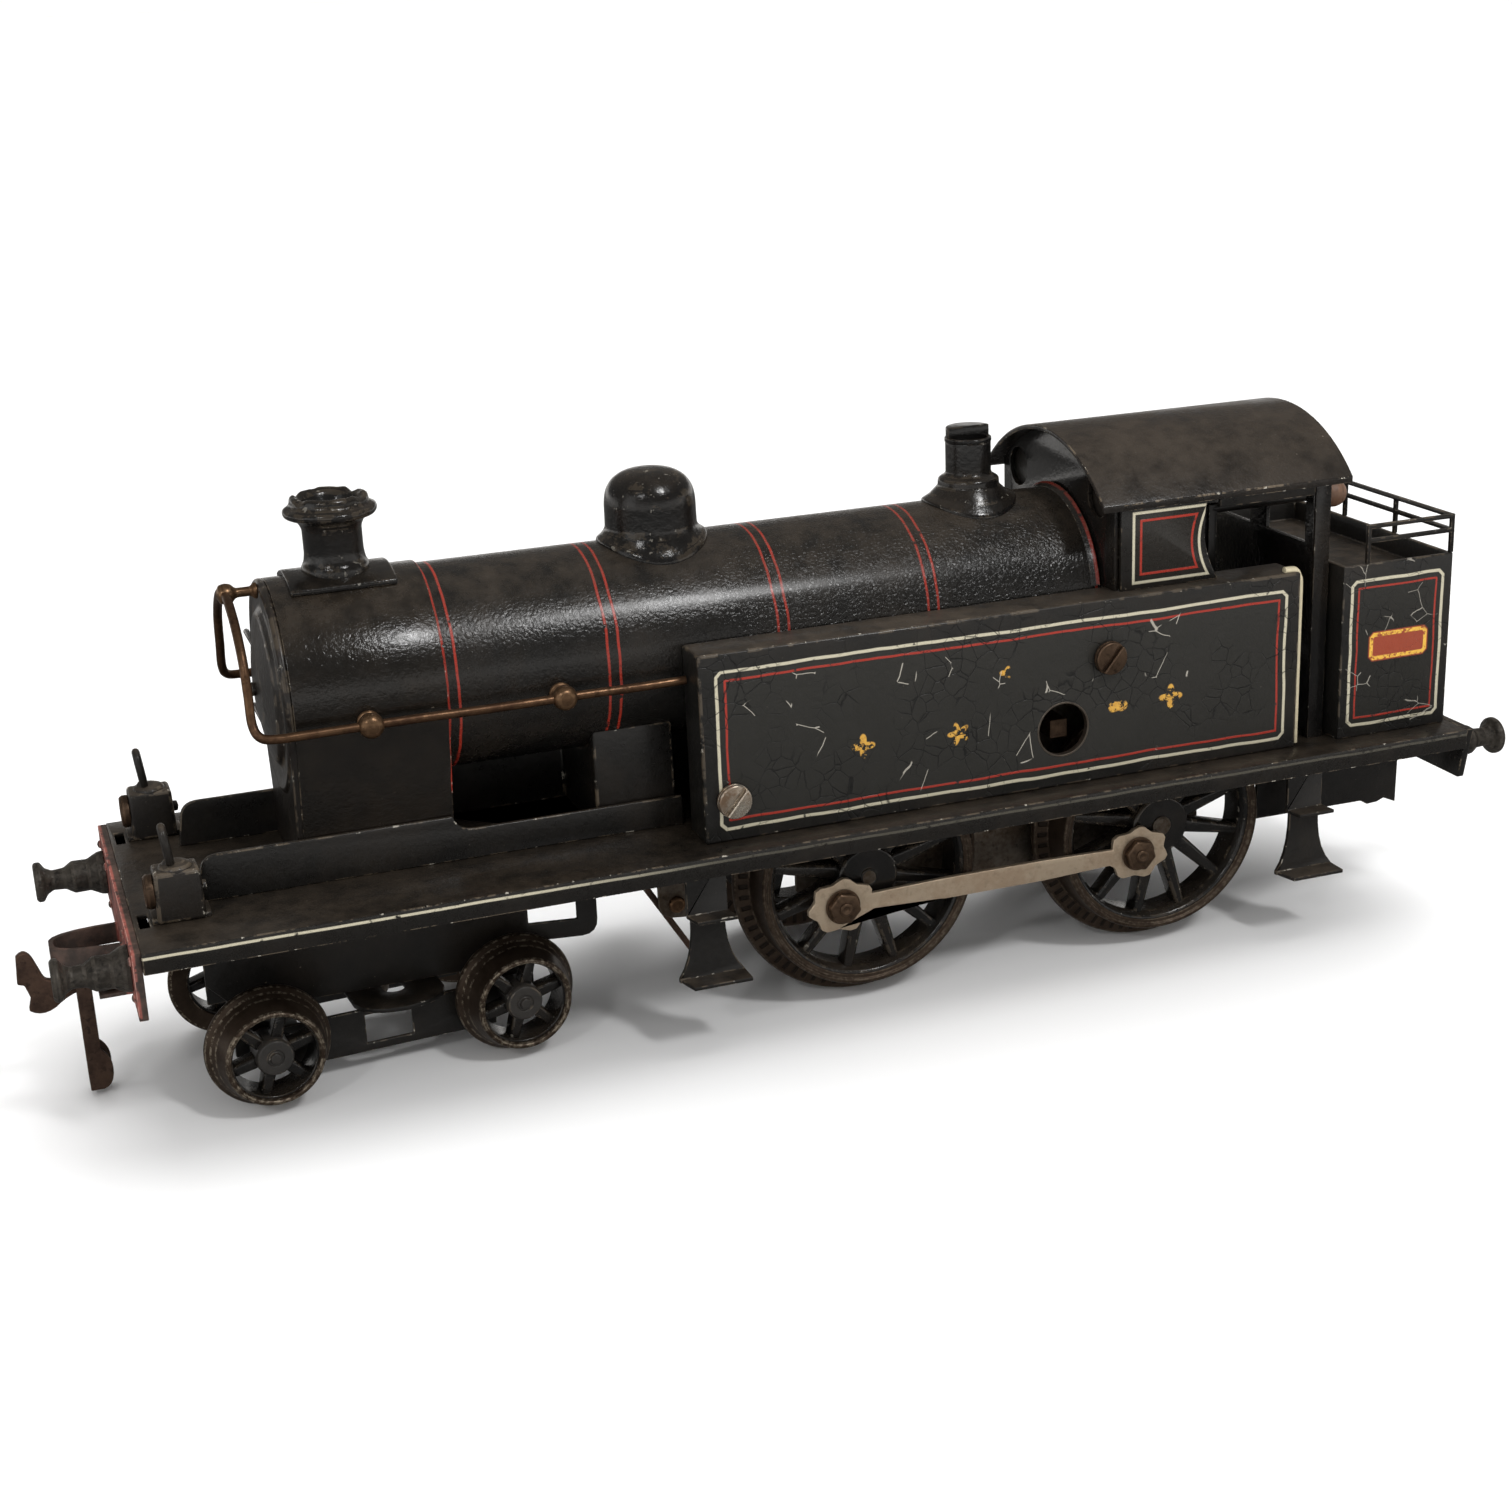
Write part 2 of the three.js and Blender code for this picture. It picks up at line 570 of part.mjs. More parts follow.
const PILLARS = [[-93, 26.5], [8, 44], [-84, 68], [-14, 70]];
const pitchRadius = (teeth) => (teeth * GEAR.module) / 2;
const MIDDLE = (() => {
  const first = pitchRadius(GEAR.great) + pitchRadius(GEAR.pinion);
  const second = pitchRadius(GEAR.middle) + pitchRadius(GEAR.axle);
  const axle = new THREE.Vector2(-DRIVER.wheelbase, DRIVER.z);
  const great = new THREE.Vector2(ARBOR.x, ARBOR.z);
  const span = great.distanceTo(axle);
  const along = (first ** 2 - second ** 2 + span ** 2) / (2 * span);
  const aside = Math.sqrt(first ** 2 - along ** 2);
  const dir = axle.clone().sub(great).normalize();
  return { x: great.x + dir.x * along - dir.y * aside, z: great.y + dir.y * along + dir.x * aside };
})();

// Spur gear outline in the X-Z plane with trapezoid teeth; phase turns the first tooth.
function gear(teeth, y0, y1, x, z, phase) {
  const pitch = pitchRadius(teeth);
  const points = [];
  for (let i = 0; i < teeth; i += 1) {
    const centre = phase + (i / teeth) * Math.PI * 2;
    const step = (Math.PI * 2) / teeth;
    for (const part of [-0.3, -0.11, 0.11, 0.3]) {
      const r = Math.abs(part) > 0.2 ? pitch - 1.4 : pitch + 0.8;
      const angle = centre + part * step;
      points.push([x + r * Math.cos(angle), z + r * Math.sin(angle)]);
    }
  }
  return plateXZ(outline(points), y0, y1);
}

// Angle from one gear centre to another, in the X-Z plane.
const towards = (from, to) => Math.atan2(to.z - from.z, to.x - from.x);
const REAR_AXLE = { x: -DRIVER.wheelbase, z: DRIVER.z };
const greatToMiddle = towards(ARBOR, MIDDLE);
const middleToAxle = towards(MIDDLE, REAR_AXLE);

// The phase that puts a tooth space of the second gear on the line where the first has a tooth.
const meshing = (teeth, lineAngle) => lineAngle + Math.PI + Math.PI / teeth;

function greatWheel() {
  const wheel = gear(GEAR.great, 9.4, 11, ARBOR.x, ARBOR.z, greatToMiddle);
  const hub = rod(4.6, 9, 12.4, 'y', [ARBOR.x, 0, ARBOR.z], 14);
  const bore = rod(2.9, 8, 13, 'y', [ARBOR.x, 0, ARBOR.z], 14);
  const holes = [];
  for (let i = 0; i < 3; i += 1) {
    const angle = (i * Math.PI * 2) / 3;
    const place = [ARBOR.x + 11.5 * Math.cos(angle), 0, ARBOR.z + 11.5 * Math.sin(angle)];
    holes.push(rod(4.6, 8, 12, 'y', place, 8));
  }
  return cut(join(wheel, hub), bore, ...holes);
}

// Winding shaft: square end under the keyhole, two bearing lengths and a ratchet disc by the great wheel.
function windingArbor() {
  const shaft = rod(2.5, -18.4, 22, 'y', [ARBOR.x, 0, ARBOR.z], 12);
  const square = box(ARBOR.x - 2.3, ARBOR.x + 2.3, 21.9, 30.5, ARBOR.z - 2.3, ARBOR.z + 2.3);
  const points = [];
  const teeth = 12;
  for (let i = 0; i < teeth; i += 1) {
    const angle = (i / teeth) * Math.PI * 2;
    points.push([ARBOR.x + 6 * Math.cos(angle), ARBOR.z + 6 * Math.sin(angle)]);
    points.push([ARBOR.x + 7.6 * Math.cos(angle + 0.06), ARBOR.z + 7.6 * Math.sin(angle + 0.06)]);
  }
  return join(shaft, square, plateXZ(outline(points), 6.6, 8.2));
}

function middleWheel() {
  const wheel = gear(GEAR.middle, 5, 6.4, MIDDLE.x, MIDDLE.z, middleToAxle);
  const pinion = gear(GEAR.pinion, 6.2, 12.2, MIDDLE.x, MIDDLE.z, meshing(GEAR.pinion, greatToMiddle));
  const shaft = rod(1.5, -18, 18, 'y', [MIDDLE.x, 0, MIDDLE.z], 10);
  return join(wheel, pinion, shaft);
}

// Coiled spring, shown as the closed ring that its turns fill.
const mainspring = () => ring(8.2, 17.4, -11, 3, 'y', [ARBOR.x, 0, ARBOR.z], 24);

function plateWithPillars() {
  const pillars = PILLARS.map(([x, z]) => rod(2, -MOTOR.half + GAP, MOTOR.half + 0.5, 'y', [x, 0, z], 8));
  return join(motorPlate(), ...pillars);
}

add('motor_plate_left', plateWithPillars(), steel);
add('motor_plate_right', mirrorY(motorPlate(), -1), steel);
add('mainspring', mainspring(), springSteel);
add('great_wheel', greatWheel(), brass);
add('winding_arbor', windingArbor(), steel);
add('middle_wheel', middleWheel(), brass);

// ---------------------------------------------------------------- driving wheels and rods

// A cast wheel: flanged tyre, twelve tapered spokes, a wide boss and a crank pin with its nut.
function castWheel(spec, spokes, crankAngle) {
  const { face, back, tread, flange, rimInner, boss, bore } = spec;
  const flangeFace = back + 2;
  const tyreRing = turned([
    [rimInner + 0.6, back], [flange - 0.4, back], [flange, back + 0.8], [flange - 0.4, flangeFace],
    [tread + 0.7, flangeFace + 0.5], [tread, face], [rimInner, face], [rimInner + 0.6, back],
  ], 'y', [0, 0, 0], spec.segments);
  const parts = [tyreRing];
  const spokeRoot = boss * 0.8;
  for (let i = 0; i < spokes; i += 1) {
    const shape = outline([
      [spokeRoot, -spec.spokeRoot / 2], [rimInner + 1.4, -spec.spokeTip / 2],
      [rimInner + 1.4, spec.spokeTip / 2], [spokeRoot, spec.spokeRoot / 2],
    ]);
    const angle = (i / spokes) * 360 + crankAngle;
    parts.push(spunY(plateXZ(shape, back + 3, face - 2), -angle));
  }
  parts.push(turned([
    [bore, back + 1], [boss, back + 1], [boss, face - 0.9], [boss - 0.7, face - 0.3], [bore, face - 0.3],
    [bore, back + 1],
  ], 'y', [0, 0, 0], spec.bossSegments));
  return join(...parts);
}

const driverSpec = {
  ...DRIVER, rimInner: 23.6, boss: 7.4, bore: 2.7, spokeRoot: 3.6, spokeTip: 2.6,
  segments: 32, bossSegments: 14,
};
const bogieSpec = {
  face: 30.2, back: 20.4, tread: BOGIE.tread, flange: BOGIE.flange, rimInner: 9.6, boss: 4.4, bore: 1,
  spokeRoot: 2.6, spokeTip: 2.2, segments: 20, bossSegments: 10,
};
const ROD = { inner: 31.2, outer: 32.6, half: 3.3, eyeStretch: 1.26 };

function crankOffset(angle) {
  const a = degToRad(angle);
  return [DRIVER.crank * Math.cos(a), DRIVER.crank * Math.sin(a)];
}

function drivingWheel(angle) {
  const [dx, dz] = crankOffset(angle);
  const wheel = castWheel(driverSpec, 12, angle + 15);
  const web = rod(4.2, DRIVER.face - 7, DRIVER.face - 0.3, 'y', [dx, 0, dz], 12);
  const pin = turned([
    [0, DRIVER.face - 2], [2.6, DRIVER.face - 2], [2.6, ROD.outer + GAP], [4.3, ROD.outer + GAP],
    [4.3, ROD.outer + 1.5], [3.6, ROD.outer + 2], [0, ROD.outer + 2],
  ], 'y', [dx, 0, dz], 14);
  return join(wheel, web, pin);
}

const drivingAxle = (gearTeeth) => {
  const shaft = join(
    rod(2.6, -30.2, 30.2, 'y', [0, 0, 0], 14),
    rod(4.2, 17.2, 19.9, 'y', [0, 0, 0], 14),
    rod(4.2, -19.9, -17.2, 'y', [0, 0, 0], 14),
  );
  if (!gearTeeth) {
    return shaft;
  }
  return shaft.add(gear(gearTeeth, 4.4, 7, 0, 0, meshing(gearTeeth, middleToAxle)));
};

// Fish-bellied rod with a scalloped eye at each end.
function couplingRod() {
  const length = DRIVER.wheelbase;
  const body = new THREE.Shape();
  body.moveTo(0, -1.7);
  body.quadraticCurveTo(-length / 2, -ROD.half - 1, -length, -1.7);
  body.lineTo(-length, 1.7);
  body.quadraticCurveTo(-length / 2, ROD.half + 0.2, 0, 1.7);
  body.closePath();
  const scallop = (x) => outline(Array.from({ length: 35 }, (_, i) => {
    const angle = (i / 35) * Math.PI * 2;
    const radius = 6.5 + 0.6 * Math.cos(7 * angle + 0.8);
    return [x + ROD.eyeStretch * radius * Math.cos(angle), radius * Math.sin(angle)];
  }));
  const eyes = [0, -length].map((x) => plateXZ(scallop(x), ROD.inner, ROD.outer));
  const frontHole = rod(2.95, ROD.inner - 1, ROD.outer + 1, 'y', [0, 0, 0], 14);
  const rearHole = rod(3.5, ROD.inner - 1, ROD.outer + 1, 'y', [-length, 0, 0], 14);
  return cut(join(plateXZ(body, ROD.inner, ROD.outer, 6), ...eyes), frontHole, rearHole);
}

for (const [name, x, teeth] of [['front', 0, 0], ['rear', -DRIVER.wheelbase, GEAR.axle]]) {
  add(`${name}_driving_axle`, drivingAxle(teeth), steel).position.set(x, 0, DRIVER.z);
  for (const [side, sign] of Object.entries(sides)) {
    const angle = sign > 0 ? CRANK_ANGLE : CRANK_ANGLE + QUARTER;
    const wheel = mirrorY(drivingWheel(angle), sign);
    add(`${name}_driving_wheel_${side}`, wheel, tyre).position.set(x, 0, DRIVER.z);
  }
}
for (const [side, sign] of Object.entries(sides)) {
  const [dx, dz] = crankOffset(sign > 0 ? CRANK_ANGLE : CRANK_ANGLE + QUARTER);
  add(`coupling_rod_${side}`, mirrorY(couplingRod(), sign), nickel).position.set(dx, 0, DRIVER.z + dz);
}

// ---------------------------------------------------------------- bogie, in its own group about the pivot

const SLAB = { y: 16.6, z: 15.4 };
const BOLSTER = { back: 3.6, half: 11, straight: 14, end: 21.4 };

// One folded sheet: a round-ended bolster across, with a windowed side plate hanging from each end.
function bogieFrame() {
  const bolster = new THREE.Shape();
  const { back, half, straight, end } = BOLSTER;
  bolster.moveTo(-back - half, -straight);
  bolster.lineTo(-back - half, straight);
  bolster.quadraticCurveTo(-back - half + 1, end - 0.8, -back, end);
  bolster.quadraticCurveTo(-back + half - 1, end - 0.8, -back + half, straight);
  bolster.lineTo(-back + half, -straight);
  bolster.quadraticCurveTo(-back + half - 1, 0.8 - end, -back, -end);
  bolster.quadraticCurveTo(-back - half + 1, 0.8 - end, -back - half, -straight);
  for (const [y0, y1] of [[4.5, 12], [-12, -4.5]]) {
    const slot = new THREE.Path();
    slot.absarc(-back, y0 + 2.6, 2.6, Math.PI, 0, false);
    slot.absarc(-back, y1 - 2.6, 2.6, 0, Math.PI, false);
    slot.closePath();
    bolster.holes.push(slot);
  }
  const plate = plateXY(bolster, SLAB.z, SLAB.z + SHEET, 4);
  const sidePlate = box(-36, 36, SLAB.y - SHEET, SLAB.y, BOGIE.z - 9.6, SLAB.z + 0.3);
  const taper = [[-37, -26], [26, 37]].map(([a, b]) =>
    box(a, b, SLAB.y - 3, SLAB.y + 3, BOGIE.z - 12, BOGIE.z - 4));
  const window = box(-5.6, 5.6, SLAB.y - 3, SLAB.y + 3, BOGIE.z - 7.6, BOGIE.z - 0.4);
  const bores = [1, -1].map((s) =>
    rod(2.1, SLAB.y - 3, SLAB.y + 3, 'y', [s * BOGIE.wheelbase / 2, 0, BOGIE.z], 10));
  const horns = [1, -1].map((s) => {
    const x = (s * BOGIE.wheelbase) / 2;
    return box(x - 4.2, x + 4.2, SLAB.y - SHEET, SLAB.y, SLAB.z - 1, BOGIE.z + 4);
  });
  const side = cut(join(sidePlate, ...horns), ...taper, window, ...bores);
  const stretchers = [1, -1].map((s) =>
    box(s * 24 - 3, s * 24 + 3, -SLAB.y + 0.4, SLAB.y - 0.4, SLAB.z - 0.9, SLAB.z + 0.3));
  const pivotHole = rod(2.4, 10, 20, 'z', [0, 0, 0], 12);
  return cut(join(plate, side, mirrorY(side, -1), ...stretchers), pivotHole);
}

// Two cast wheels on their axle, turned about their own centre.
function bogieWheelset() {
  const wheel = castWheel(bogieSpec, 6, 0);
  const shaft = rod(1.65, -30.2, 30.2, 'y', [0, 0, 0], 10);
  const collars = [17, -21.6].map((y) => rod(2.6, y, y + 4.6, 'y', [0, 0, 0], 10));
  return join(wheel, mirrorY(wheel, -1), shaft, ...collars);
}

bogie.position.set(BOGIE.x, 0, 0);
bogie.rotation.z = degToRad(BOGIE.yaw);
engine.add(bogie);
add('bogie_frame', bogieFrame(), black, bogie);
for (const [name, sign] of [['front', 1], ['rear', -1]]) {
  const x = (sign * BOGIE.wheelbase) / 2;
  add(`${name}_bogie_wheelset`, bogieWheelset(), tyre, bogie).position.set(x, 0, BOGIE.z);
}

// ---------------------------------------------------------------- under the footplate

// Front cradle: two hanging side plates with a window behind the bogie, and a cross strip for the pivot.
function frontCradle() {
  const top = DECK.top - SHEET - 0.02;
  const bottom = 23;
  const skirt = 19.3;
  const shape = new THREE.Shape();
  shape.moveTo(157, top);
  shape.lineTo(157, 27);
  shape.lineTo(150, skirt);
  shape.lineTo(88, skirt);
  shape.lineTo(83, bottom + 1);
  shape.lineTo(68, bottom);
  shape.quadraticCurveTo(64, bottom, 64, bottom + 4);
  shape.lineTo(64, top);
  shape.closePath();
  const window = outline([[69, 27.6], [81, 28.4], [81, 37.6], [69, 37.2]]);
  shape.holes.push(window);
  const plate = plateXZ(shape, 12.4, 12.4 + SHEET, 4);
  const strip = box(BOGIE.x - 10, BOGIE.x + 10, -12.6, 12.6, bottom + 2, bottom + 3.4);
  return join(plate, mirrorY(plate, -1), strip);
}

// Shouldered screw up through the bolster into the cradle's cross strip.
const pivotScrew = () => turned([
  [0, SLAB.z - 2.6], [4.6, SLAB.z - 2.6], [4.6, SLAB.z - GAP], [1.9, SLAB.z - GAP],
  [1.9, SLAB.z + SHEET + GAP], [3.4, SLAB.z + SHEET + GAP], [3.4, 24.98], [0, 24.98],
], 'z', [BOGIE.x, 0, 0], 14);

function rearFrame() {
  const top = DECK.top - SHEET - 0.02;
  const shape = outline([
    [-109.4, top], [-109.4, 28.2], [-141, 28], [-143, 26.8], [-146, 27], [-148, 27.8],
    [-151.6, 26.2], [-152, top],
  ]);
  const plate = plateXZ(shape, 25.8, 27);
  const bridge = box(-124, -116, -26, 26, top - 1.2, top);
  return join(plate, mirrorY(plate, -1), bridge);
}

// Hanging step: a waisted hanger plate, a short upper tread and a wide lower tread.
function step(x, bottom) {
  const top = DECK.top - SHEET - 0.02;
  const y = 37;
  const shape = new THREE.Shape();
  shape.moveTo(x - 5, top);
  shape.lineTo(x - 5, 34);
  shape.lineTo(x - 4.2, 33);
  shape.quadraticCurveTo(x - 4, bottom + 6, x - 8.6, bottom + 1);
  shape.lineTo(x - 8.6, bottom);
  shape.lineTo(x + 7.6, bottom);
  shape.lineTo(x + 7.6, bottom + 1);
  shape.quadraticCurveTo(x + 4, bottom + 6, x + 4.2, 33);
  shape.lineTo(x + 5, 34);
  shape.lineTo(x + 5, top);
  shape.closePath();
  const plate = plateXZ(shape, y, y + SHEET, 5);
  const upper = plateXY(outline([[x - 5, y], [x + 5, y], [x + 4, y + 5.6], [x - 6, y + 5.6]]), 33, 34);
  const lower = plateXY(outline([
    [x - 8.6, y], [x + 7.6, y], [x + 5.8, y + 6.8], [x - 8.6, y + 6.8],
  ]), bottom, bottom + 1);
  return join(plate, upper, lower);
}

add('front_cradle', frontCradle(), black);
add('bogie_pivot_screw', pivotScrew(), steel);
add('rear_frame', rearFrame(), black);
for (const [side, sign] of Object.entries(sides)) {
  add(`front_step_${side}`, mirrorY(step(44, 17.4), sign), black);
  add(`rear_step_${side}`, mirrorY(step(-116.4, 16.6), sign), black);
}

// ---------------------------------------------------------------- front coupling

// Flat hook on a vertical pin: a tall prong, a notch and a shank back to the beam.
function couplingHook() {
  const shape = new THREE.Shape();
  shape.moveTo(HOOK.pin - 1.6, 30.2);
  shape.lineTo(189.4, 29.6);
  shape.quadraticCurveTo(191.2, 29.6, 191.6, 31);
  shape.lineTo(193.2, 35.4);
  shape.quadraticCurveTo(194.6, 38.6, 196.8, 36.4);
  shape.lineTo(HOOK.tip, 29.8);
  shape.lineTo(195.8, 29.3);
  shape.lineTo(194.8, 26);
  shape.lineTo(195.6, 23);
  shape.quadraticCurveTo(193, 20.8, 189.6, 22.8);
  shape.quadraticCurveTo(186.6, 25.4, 183, 26);
  shape.lineTo(HOOK.pin - 1.6, 26.2);
  shape.closePath();
  const pin = turned([
    [0, 23.2], [1.15, 23.2], [1.15, 25.3], [2.2, 25.3], [2.2, 32.2], [1.15, 32.2], [1.15, 34.2], [0, 34.2],
  ], 'z', [HOOK.pin, 0, 0], 12);
  const linkHole = rod(1.2, -3, 3, 'y', [LINK.x, 0, LINK.z], 12);
  return cut(join(plateXZ(shape, -1, 1, 5), pin), linkHole);
}

// Folded drop link: a windowed web between two cheeks that swell towards the bottom, on a cross pin.
function dropLink() {
  const { x, z, half, bottom } = LINK;
  const front = x + 1.8;
  const cheek = new THREE.Shape();
  cheek.moveTo(x - 1.6, z + 1.6);
  cheek.lineTo(front, z + 1.6);
  cheek.lineTo(front, bottom);
  cheek.lineTo(x - 1.2, bottom);
  cheek.quadraticCurveTo(x - 3.8, bottom + 0.6, x - 3.8, bottom + 5);
  cheek.quadraticCurveTo(x - 3.8, bottom + 8, x - 1.6, bottom + 10);
  cheek.closePath();
  const cheeks = [1, -1].map((s) => mirrorY(plateXZ(cheek, half - 0.8, half, 5), s));
  const web = box(front - 0.9, front, -half, half, bottom, z - 5);
  const windows = [[bottom + 3, bottom + 8.8], [bottom + 13.4, z - 6.2]].map(([z0, z1]) =>
    box(front - 2, front + 1, -2.2, 2.2, z0, z1));
  const foot = box(x - 1.2, front, -half, half, bottom, bottom + 0.9);
  const pin = rod(0.85, -half + 0.2, half - 0.2, 'y', [x, 0, z], 12);
  return join(cut(web, ...windows), ...cheeks, foot, pin);
}

add('coupling_hook', couplingHook(), rust);
add('drop_link', dropLink(), rust);

// ---------------------------------------------------------------- the whole engine centred on its length

const rearFace = DECK.rear - BEAM.thick - BUFFER.length;
const frontFace = HOOK.tip;
engine.position.x = -(frontFace + rearFace) / 2;

export default engine;
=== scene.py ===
# Looks of a clockwork tank locomotive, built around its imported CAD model.
# Shapes are drawn in millimetres, measured lengthways from the front driving axle, and scaled to metres last.
from functools import reduce
import json
import math

import bmesh
import bpy
from mathutils import Matrix, Vector, noise


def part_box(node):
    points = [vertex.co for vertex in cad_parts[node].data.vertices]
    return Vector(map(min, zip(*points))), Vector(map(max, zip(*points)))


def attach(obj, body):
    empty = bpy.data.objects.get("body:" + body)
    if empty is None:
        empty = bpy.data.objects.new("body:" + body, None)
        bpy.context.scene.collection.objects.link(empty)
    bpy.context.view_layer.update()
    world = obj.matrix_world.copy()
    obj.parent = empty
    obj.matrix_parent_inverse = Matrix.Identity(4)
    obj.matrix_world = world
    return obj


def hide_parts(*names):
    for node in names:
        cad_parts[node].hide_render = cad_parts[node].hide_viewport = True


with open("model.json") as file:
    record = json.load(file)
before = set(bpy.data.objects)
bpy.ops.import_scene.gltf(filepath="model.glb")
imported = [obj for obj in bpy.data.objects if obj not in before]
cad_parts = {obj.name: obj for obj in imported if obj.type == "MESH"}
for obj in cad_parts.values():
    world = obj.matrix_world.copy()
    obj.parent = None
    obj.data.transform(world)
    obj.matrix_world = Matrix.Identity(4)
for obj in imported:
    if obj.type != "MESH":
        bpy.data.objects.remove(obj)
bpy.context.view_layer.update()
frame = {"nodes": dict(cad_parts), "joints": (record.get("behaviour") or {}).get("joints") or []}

JOINTS = {j["name"]: j for j in frame["joints"]}
AXLE_X = JOINTS["front_axle_spin"]["pos_m"][0] * 1000
AXLE_Z = JOINTS["front_axle_spin"]["pos_m"][2] * 1000
REAR_X = JOINTS["rear_axle_spin"]["pos_m"][0] * 1000 - AXLE_X
TO_METRES = Matrix.Translation((AXLE_X / 1000, 0, 0)) @ Matrix.Diagonal((0.001, 0.001, 0.001, 1))
TO_MM = TO_METRES.inverted()


def span(node):
    """Lowest and highest corner of a CAD node in millimetres from the front driving axle."""
    low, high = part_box(node)
    return TO_MM @ low, TO_MM @ high


def middle(node):
    """Centre of a CAD node in the same millimetres."""
    low, high = span(node)
    return (low + high) / 2


DECK_TOP = span("footplate")[1].z
BOILER_R = span("boiler_barrel")[1].z - middle("boiler_barrel").z
BOILER_Z = middle("boiler_barrel").z
BOILER_TOP = BOILER_Z + BOILER_R
SMOKE_R = span("smokebox_wrapper")[1].z - middle("smokebox_wrapper").z
SMOKE_TOP = BOILER_Z + SMOKE_R
TANK_LOW, TANK_HIGH = span("side_tank_left")
BUNKER_LOW, BUNKER_HIGH = span("bunker")
KEYHOLE_X = -49.2
KEYHOLE_Z = JOINTS["winding_arbor_turn"]["pos_m"][2] * 1000 + 1.6
SADDLE_HALF = 18.4
SADDLE_SHOULDER = 60.6
SHEET = 1.2
LAMP_X = 161.1
RAIL_Y = 27.6
RAIL_NOSE = 141.0

# Painted decoration, in the same millimetres.
BAND_X = (96.2, 58.5, 17.2, -21.1)
BAND_HALF_GAP = 1.3
BAND_FOOT = 66
CAB_BAND_X = -64.4
ORNAMENTS = (  # x, z, size, petals, wear
    (3, 68, 3.0, 4, 41), (-21.5, 67.4, 2.9, 5, 42), (-64, 68, 2.6, 2, 43), (-78.5, 68.4, 3.2, 4, 44),
    (-34, 80.8, 1.7, 3, 45))
NUMBER_PLATE = (-152.4, -134.9, 69.3, 77.0)
FLANGE_NOTCHES = 66

BLACK = (0.0065, 0.006, 0.0054)
PANEL_BLACK = (0.0085, 0.008, 0.0072)
CREAM = (0.5, 0.46, 0.34)
LINE_RED = (0.33, 0.022, 0.01)
FADED_RED = (0.22, 0.025, 0.015)
PLATE_RED = (0.3, 0.05, 0.02)
GILT = (0.72, 0.42, 0.05)
WORN_GILT = (0.45, 0.2, 0.03)
CHIP = (0.42, 0.39, 0.33)
CRACK = (0.004, 0.004, 0.004)
DUST = (0.055, 0.041, 0.028)
FLECK = (0.2, 0.17, 0.13)
RUBBED = (0.12, 0.092, 0.062)


# ---------------------------------------------------------------- material graphs


class Field:
    """A number or vector in a material; arithmetic on it adds Math nodes."""

    def __init__(self, graph, socket):
        self.graph = graph
        self.socket = socket

    def __add__(self, other):
        return self.graph.math("ADD", self, other)

    def __radd__(self, other):
        return self.graph.math("ADD", other, self)

    def __sub__(self, other):
        return self.graph.math("SUBTRACT", self, other)

    def __rsub__(self, other):
        return self.graph.math("SUBTRACT", other, self)

    def __mul__(self, other):
        return self.graph.math("MULTIPLY", self, other)

    def __rmul__(self, other):
        return self.graph.math("MULTIPLY", other, self)

    def __abs__(self):
        return self.graph.math("ABSOLUTE", self)

    def high(self, other):
        return self.graph.math("MAXIMUM", self, other)

    def step(self, start, end):
        """0 before start, 1 after end, smooth between; start may be the larger."""
        node = self.graph.node("ShaderNodeMapRange")
        node.interpolation_type = "SMOOTHSTEP"
        low, high = (start, end) if start < end else (end, start)
        self.graph.feed(node.inputs["Value"], self)
        node.inputs["From Min"].default_value = low
        node.inputs["From Max"].default_value = high
        node.inputs["To Min"].default_value = 0.0 if start < end else 1.0
        node.inputs["To Max"].default_value = 1.0 if start < end else 0.0
        return Field(self.graph, node.outputs["Result"])


